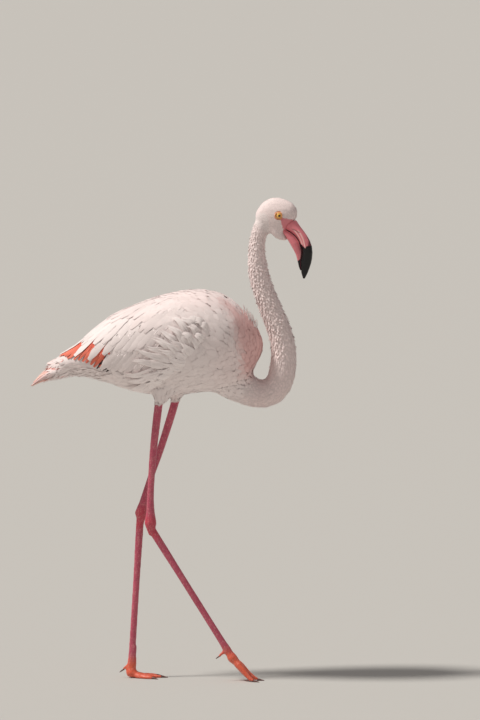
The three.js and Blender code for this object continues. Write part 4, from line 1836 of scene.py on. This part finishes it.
    def _rump(self, plume: Plume, white: bpy.types.Material) -> bpy.types.Object:
        """Lays the loose fluff of rump and undertail.

        Args:
            plume: the layer of feathers.
            white: the body feathers' material.

        Returns:
            The piece.
        """
        roots = self._roots(self.rump_gap, lambda p: self._on_body(p) & self._on_rump(p), 23)
        vane = Vane(
            Outline.STRAND, 23, 7, tip_lift=4.0, root_lift=0.5, sway=2.0, yaw=16, lift_spread=0.5, thick=0.4,
            soft=0.65,
        )
        return plume.joined("rump_feathers", [plume.spread("rump", vane, roots)], white)

    def _thighs(self, plume: Plume, white: bpy.types.Material) -> bpy.types.Object:
        """Lays the downy feathers of the thighs.

        Args:
            plume: the layer of feathers.
            white: the body feathers' material.

        Returns:
            The piece.
        """

        def keep(p: Array) -> Array:
            """Gives which points the tract covers."""
            return (self.plan.thigh_share(p) >= 0.5) & (p[:, 2] > 638 * MM)

        roots = self._roots(self.thigh_gap, keep, 31)
        vane = Vane(
            Outline.STRAND, 15, 7, tip_lift=2.2, root_lift=0.5, yaw=9, camber=0.05, thick=0.4, soft=0.75
        )
        return plume.joined("thigh_feathers", [plume.spread("thighs", vane, roots)], white)

    def _round_body(self, x: Array, angle: Array, side: int) -> tuple[Array, Array]:
        """Finds places on the skin by x and the angle from the back.

        Args:
            x: places along the body in metres.
            angle: angles from the back in radians.
            side: 1 for the left of the bird and -1 for its right.

        Returns:
            The places and the skin's normals, shaped as x is.
        """
        flat_x, flat_angle = x.ravel(), angle.ravel()
        start = np.stack([flat_x, 0 * flat_x, np.interp(flat_x, self.plan.axis_x, self.plan.axis_z)], 1)
        way = np.stack([0 * flat_x, side * np.sin(flat_angle), np.cos(flat_angle)], 1)
        hits, good = self.hide.cast(start, way, 0.2)
        places, normals = self.hide.nearest(hits)
        return places.reshape(*x.shape, 3), normals.reshape(*x.shape, 3)

    def _from_side(self, x: Array, z: Array, side: int) -> Array:
        """Finds places on the skin that are seen from one side.

        Args:
            x: places along the bird in mm.
            z: heights in mm.
            side: 1 for the left of the bird and -1 for its right.

        Returns:
            The places in metres.
        """
        start = np.stack([x * MM, np.full(len(x), side * 0.25), z * MM], 1)
        hits, _ = self.hide.cast(start, np.tile([0.0, -side, 0.0], (len(x), 1)), 0.4)
        return hits

    def _wing_row(self, plume: Plume, row: WingRow, side: int) -> Laid:
        """Lays one row of long feathers on one wing.

        Args:
            plume: the layer of feathers.
            row: the row.
            side: 1 for the left wing and -1 for the right.

        Returns:
            The row's feathers.
        """
        count, first, last, start, end, ragged, vane = row.value
        rings = len(vane.outline.value)
        across = np.linspace(first, last, count) + plume.rng.normal(0, 0.006, count)
        edge = np.interp(across, np.linspace(first, last, len(self.wing_edge)), self.wing_edge)
        ends = edge if row is WingRow.LONG_TERTIALS else end + plume.rng.uniform(-ragged, ragged, count)
        t = np.linspace(0, 1, rings)[None]
        along = start + (ends[:, None] - start) * t
        drift = 0.02 * np.sin(2.5 * t + across[:, None] * 9)
        x, angle = WingSheet().at(across[:, None] + drift, along)
        shafts, normals = self._round_body(x, angle, side)
        rolled = replace(vane, roll=-side * vane.roll, lift_spread=0.06)
        return plume.laid(f"{row.name.lower()} {side:+d}", rolled, shafts, normals)

    def _wings(self, plume: Plume, webbed: bpy.types.Material) -> bpy.types.Object:
        """Lays the long pale feathers that hang over each folded wing.

        Args:
            plume: the layer of feathers.
            webbed: the wing feathers' material.

        Returns:
            The piece.
        """
        rows = (WingRow.LONG_TERTIALS, WingRow.SHORT_TERTIALS, WingRow.SCAPULARS)
        groups = [self._wing_row(plume, row, side) for side in (-1, 1) for row in rows]
        return plume.joined("long_wing_feathers", groups, webbed)

    def _dyed(self, plume: Plume) -> list[bpy.types.Object]:
        """Lays the coral coverts and the dark quills that show under the wings' edges.

        Args:
            plume: the layer of feathers.

        Returns:
            The two pieces.
        """
        coral = Plumage("coral coverts", pale="#e94f38", rosy="#d2332a", tip="#ef7a62", mottle=0.4).made()
        dark = Plumage("dark flight quills", pale="#2a1316", rosy="#3a161a", roughness=0.5, sheen=0.0).made()
        pieces = []
        for name, row, finish in (
            ("coral_coverts", WingRow.CORAL_COVERTS, coral), ("dark_quills", WingRow.DARK_QUILLS, dark)
        ):
            groups = [self._wing_row(plume, row, side) for side in (-1, 1)]
            pieces.append(plume.joined(name, groups, finish))
        return pieces

    def _mantle(self, plume: Plume, white: bpy.types.Material) -> bpy.types.Object:
        """Lays the close small feathers of the back and the shoulder over the long ones' roots.

        Args:
            plume: the layer of feathers.
            white: the body feathers' material.

        Returns:
            The piece.
        """

        def keep(p: Array) -> Array:
            """Gives which points the tract covers."""
            x, angle = p[:, 0] / MM, self.plan.angle(p)
            edge = np.interp(angle, [0, 20, 60, 90, 125], [-70, -40, 0, 15, 20])
            return (self.plan.wing_share(p) >= 0.5) & (x > edge)

        roots = self._roots(self.mantle_gap, keep, 41)
        deep = ease(150 * MM, 100 * MM, roots[:, 0])
        vane = Vane(
            Outline.CONTOUR, 29, 15, tip_lift=3.8, root_lift=1.2, rise=1.0, lift_spread=0.1, yaw=5,
            camber=0.05, thick=0.4, soft=0.85,
        )
        laid = plume.spread("mantle", vane, roots, 0.72 + 0.28 * deep)
        return plume.joined("mantle_feathers", [laid], white)

    def _flanks(self, plume: Plume, white: bpy.types.Material) -> bpy.types.Object:
        """Lays the long wavy locks of the flanks over the wing's front edge, and the fringe on the breast.

        Args:
            plume: the layer of feathers.
            white: the body feathers' material.

        Returns:
            The piece.
        """
        groups = []
        # The locks' tone of 1.08 is painted light: it brightens them above the body feathers, as if sunlit.
        vane = Vane(
            Outline.LOCK, 0, 4.2, tip_lift=7.0, root_lift=0.8, rise=1.3, arch=6.5, sway=2.0, waves=1.1,
            lift_spread=0.3, tone=1.08, tone_spread=0.03, thick=0.4, soft=0.4, pink=0.0,
        )
        spans = np.array(self.flank_locks, float)
        number = np.arange(len(spans))
        for side in (-1, 1):
            for row, (near, far, count, lift) in enumerate(self.flank_rows):
                at = np.linspace(0, len(spans) - 1, count) + plume.rng.normal(0, 0.08, count) + 0.15 * row
                span = np.stack([np.interp(at, number, column) for column in spans.T], 1)
                root, tip = span[:, :2], span[:, 2:]
                low = near + plume.rng.uniform(-0.06, 0.06, count)[:, None]
                high = far + plume.rng.uniform(-0.10, 0.08, count)[:, None]
                fro, to = root + (tip - root) * low, root + (tip - root) * high
                to[:, 1] += plume.rng.normal(0, 3.0, count)
                starts = self._from_side(fro[:, 0], fro[:, 1], side)
                ends = self._from_side(to[:, 0], to[:, 1], side)
                bends = side * np.interp(at, [0, 4, 6, 9], [5, 3, -2, -5])
                strand = replace(vane, tip_lift=lift)
                groups.append(plume.locks(f"flank {side:+d} row {row}", strand, starts, ends, 12, 17, bends))
        groups.append(self._fringe(plume))
        return plume.joined("flank_tufts", groups, white)

    def _fringe(self, plume: Plume) -> Laid:
        """Lays the short upright tufts where the breast meets the neck.

        Args:
            plume: the layer of feathers.

        Returns:
            The tufts.
        """
        count = self.tufts
        down, across = plume.rng.random(count), plume.rng.uniform(-30, 30, count)
        spots = np.stack([164 + 38 * down, across, 827 - 30 * down], 1) * MM
        roots, _ = self.hide.nearest(spots)
        # The tufts' tone of 1.1 is painted light: it brightens them above the body feathers, as if sunlit.
        vane = Vane(
            Outline.STRAND, 18, 4.4, tip_lift=9, root_lift=0.5, rise=1.0, lift_spread=0.5, tone=1.1,
            soft=0.3, pink=0.0,
        )
        lengths = vane.length * MM * plume.rng.uniform(0.6, 1.25, count)
        yaw = np.radians(plume.rng.normal(0, 22, count))
        ways = np.tile([0.5, 0.0, 0.87], (count, 1))
        shafts, normals = plume.walk(roots, len(vane.outline.value), lengths, yaw, ways)
        return plume.laid("fringe", vane, shafts, normals)

    def _tail(self, plume: Plume) -> bpy.types.Object:
        """Lays the short fan of tail feathers, above and below.

        Args:
            plume: the layer of feathers.

        Returns:
            The piece.
        """
        salmon = Plumage("tail feathers", pale="#f2bab3", rosy="#d9635d", tip="#f4c8bb", relief=0.35).made()
        count = self.tail_quills
        across = np.linspace(-1, 1, count)
        t = np.linspace(0, 1, len(Outline.QUILL.value))[None, :, None]
        groups = []
        for over in (1, -1):
            start = np.stack([np.full(count, -232.0), across * 30, np.full(count, 698 + over * 14)], 1) * MM
            low = np.full(count, 662.5 + over * 1.5)
            end = np.stack([-317 + 7 * np.abs(across), across * 17, low], 1) * MM
            line = start[:, None] * (1 - t) + end[:, None] * t + np.array([0, 0, over * 12 * MM])
            places, normals = (rows.reshape(line.shape) for rows in self.hide.nearest(line.reshape(-1, 3)))
            vane = Vane(
                Outline.QUILL, 0, 19, root_lift=0.8, tip_lift=1.3, roll=3, lift_spread=0.3, thick=0.6,
                soft=0.6, pink=1 - 0.7 * over,
            )
            groups.append(plume.laid(f"tail {over:+d}", vane, places, normals))
        return plume.joined("tail_quills", groups, salmon)


# ---------------------------------------------------------------- bill, eyes and claws


@dataclass
class Bill:
    """The bent bill in two halves, with nostril slits, a groove and a dark tip. Places in the head's mm."""

    plan: BodyPlan
    voxel: float = 0.8
    lining_depth: float = 1.3
    nostril: tuple[tuple[float, float], ...] = ((277.0, 1018.8), (284, 1015.8), (292.5, 1010))
    groove: tuple[tuple[float, float], ...] = (
        (288, 1013), (296, 1001.5), (302, 989), (303, 975), (302, 952), (299.5, 934),
    )
    # Lines of the paler ridges beside nostril and groove; their colour is partly the horn's own and partly a
    # painted highlight.
    pale_highlit_lines: tuple[tuple[tuple[float, float], ...], ...] = (
        ((276, 1021.5), (284, 1012.6), (292.4, 999.8), (298.4, 985)),
        ((289, 1014.5), (295, 1008), (301, 996), (305.2, 978)),
    )
    upper_edge: tuple[tuple[float, float], ...] = (
        (296, 985), (298, 983), (305.4, 976), (308.5, 981), (320, 982),
    )
    lower_edge: tuple[tuple[float, float], ...] = (
        (300, 984), (296.6, 980), (296, 962), (293.5, 953), (289, 948.5), (280, 946),
    )

    def build(self) -> list[bpy.types.Object]:
        """Builds both halves.

        Returns:
            The upper and the lower half.
        """
        finish = BillHorn().made()
        halves = []
        for node, other in (("bill_upper", "bill_lower"), ("bill_lower", "bill_upper")):
            half = copy_of([node], f"{node}_horn", self.voxel * MM)
            relaxed(half, 4)
            self._shaped(half, node == "bill_upper", self._tree_of(other))
            surfaced(half, finish)
            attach(half, BODY)
            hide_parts(node)
            LOG.info("%s: %d faces", half.name, len(half.data.polygons))
            halves.append(half)
        return [*halves, self._shaded_mouth_inside(finish)]

    def _shaded_mouth_inside(self, finish: bpy.types.Material) -> bpy.types.Object:
        """Builds the inside of the mouth, which closes the slit between the halves, coloured all over with
        the painted shade of the mouth line.

        Args:
            finish: the bill's material.

        Returns:
            The lining.
        """
        inside = copy_of(["bill_upper", "bill_lower"], "shaded_mouth_inside", 1.5 * MM)
        relaxed(inside, 2)
        places, normals = points_of(inside)
        moved(inside, places - normals * self.lining_depth * MM)
        # The whole inside takes the mouth line's painted shade.
        for name, value in (("tip", 0.0), ("ridge", 0.0), ("pale_and_highlight", 0.0), ("gap_shade", 1.0)):
            painted(inside, name, np.full(len(places), value))
        surfaced(inside, finish)
        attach(inside, BODY)
        return inside

    def _tree_of(self, node: str) -> BVHTree:
        """Makes a search tree of one solid's faces.

        Args:
            node: the solid's name.

        Returns:
            The tree.
        """
        shape = bmesh.new()
        shape.from_mesh(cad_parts[node].data)
        tree = BVHTree.FromBMesh(shape)
        shape.free()
        return tree

    def _shaped(self, half: bpy.types.Object, upper: bool, other: BVHTree) -> None:
        """Carves the fine forms by moving vertices and paints the tip, the ridge, the pale stripes with their
        painted highlight, and painted shade along the mouth line and nostril slit.

        Args:
            half: one half of the bill.
            upper: whether it is the upper half.
            other: the other half's faces, for the line where they meet.
        """
        places, normals = points_of(half)
        local = self.plan.head.into(places)
        flat, out = local[:, [0, 2]], np.abs(local[:, 1])
        x, z = flat.T
        meet = np.array([other.find_nearest(Vector(p))[3] for p in places]) / MM
        dip = 0.5 * ease(2.6, 0.6, meet)
        if upper:
            slit = ease(1.7, 0.3, off_line(flat, self.nostril)) * (out > 5)
            line = ease(1.8, 0.2, off_line(flat, self.groove)) * (out > 3)
            # Paler ridges: partly the horn's own colour, partly a painted highlight.
            pale = ease(2.6, 0.4, np.min([off_line(flat, s) for s in self.pale_highlit_lines], 0)) * (out > 3)
            dip += 1.2 * slit + 0.6 * line - 0.55 * pale
            edge_x, edge_z = np.array(self.upper_edge).T
            tip = ease(1.3, -1.3, z - np.interp(x, edge_x, edge_z))
            ridge = 0.9 * ease(305.5, 308.5, x) * ease(1007, 998, z) * ease(1.5, -1.5, out - 0.4 * (1008 - z))
            # Painted shade where the halves meet and in the nostril slit.
            gap_shade = np.maximum(ease(1.6, 0.6, meet), 0.55 * slit)
            pale_and_highlight = 0.75 * pale * ease(1024, 1012, z)
        else:
            lip = np.exp(-(((meet - 2.6) / 1.0) ** 2))
            dip += -0.4 * lip
            edge = np.array(self.lower_edge)
            side = np.interp(z, edge[::-1, 1], edge[::-1, 0])
            tip = np.maximum(ease(-1.2, 1.2, x - side) * ease(985, 980, z), ease(948.5, 946, z))
            ridge = 0.0 * z
            # Painted shade where the halves meet.
            gap_shade = ease(1.5, 0.6, meet)
            # The paler lip: partly the horn's own colour, partly a painted highlight.
            pale_and_highlight = 0.35 * lip * (1 - tip)
        moved(half, places - normals * (dip * MM)[:, None])
        for name, values in (("tip", tip), ("ridge", ridge), ("pale_and_highlight", pale_and_highlight), ("gap_shade", gap_shade)):
            painted(half, name, values)


@dataclass
class Eyes:
    """The two eyes: wet balls that look ahead and a little down. Sizes in mm."""

    plan: BodyPlan
    radius: float = 7.3
    gaze: tuple[float, float, float] = (0.34, 0.93, -0.08)

    def build(self) -> list[bpy.types.Object]:
        """Builds both eyes.

        Returns:
            The right and the left eye.
        """
        finish = EyeGlaze().made()
        made = []
        for name, side in (("right", -1), ("left", 1)):
            shape = bmesh.new()
            bmesh.ops.create_uvsphere(shape, u_segments=40, v_segments=28, radius=self.radius)
            centre = self.plan.eye_place * np.array([1, side, 1])
            look = unit(np.array(self.gaze) * np.array([1, side, 1]))
            turned = Vector((0, 0, 1)).rotation_difference(Vector(look)).to_matrix().to_4x4()
            bmesh.ops.transform(shape, matrix=turned, verts=shape.verts)
            balls = np.array([v.co for v in shape.verts])
            for vert, spot in zip(shape.verts, self.plan.head.out(balls + centre)):
                vert.co = Vector(spot)
            eye = object_from(shape, f"{name}_eyeball")
            cosine = np.clip(unit(balls) @ look, -1, 1)
            painted(eye, "gaze", np.degrees(np.arccos(cosine)) / 90)
            eye.data.materials.append(finish)
            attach(eye, BODY)
            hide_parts(f"eye_{name}")
            made.append(eye)
        return made


@dataclass
class Claws:
    """The eight claws, smoothed from their solids. Sizes in mm."""

    voxel: float = 0.55

    def build(self) -> bpy.types.Object:
        """Builds all claws as one piece.

        Returns:
            The claws.
        """
        toes = ("inner", "middle", "outer", "hind")
        names = [f"claw_{toe}_{side}" for side in ("right", "left") for toe in toes]
        claws = copy_of(names, "claws_horn", self.voxel * MM)
        relaxed(claws, 2)
        surfaced(claws, ClawHorn().made())
        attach(claws, BODY)
        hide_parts(*names)
        LOG.info("claws: %d faces", len(claws.data.polygons))
        return claws


# ---------------------------------------------------------------- main


def main() -> None:
    """Builds the bird in order and reports each piece."""
    logging.basicConfig(level=logging.INFO, format="%(message)s", stream=sys.stdout)
    Studio().build()
    plan = BodyPlan()
    markings = Markings(plan)
    skin, ground = Skin(plan, markings).build()
    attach(skin, BODY)
    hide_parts(*FLESH, *BARE)
    LOG.info("skin: %d faces", len(skin.data.polygons))
    Bill(plan).build()
    Eyes(plan).build()
    Claws().build()
    Coat(ground, plan, markings).build()


if __name__ == "__main__":
    main()
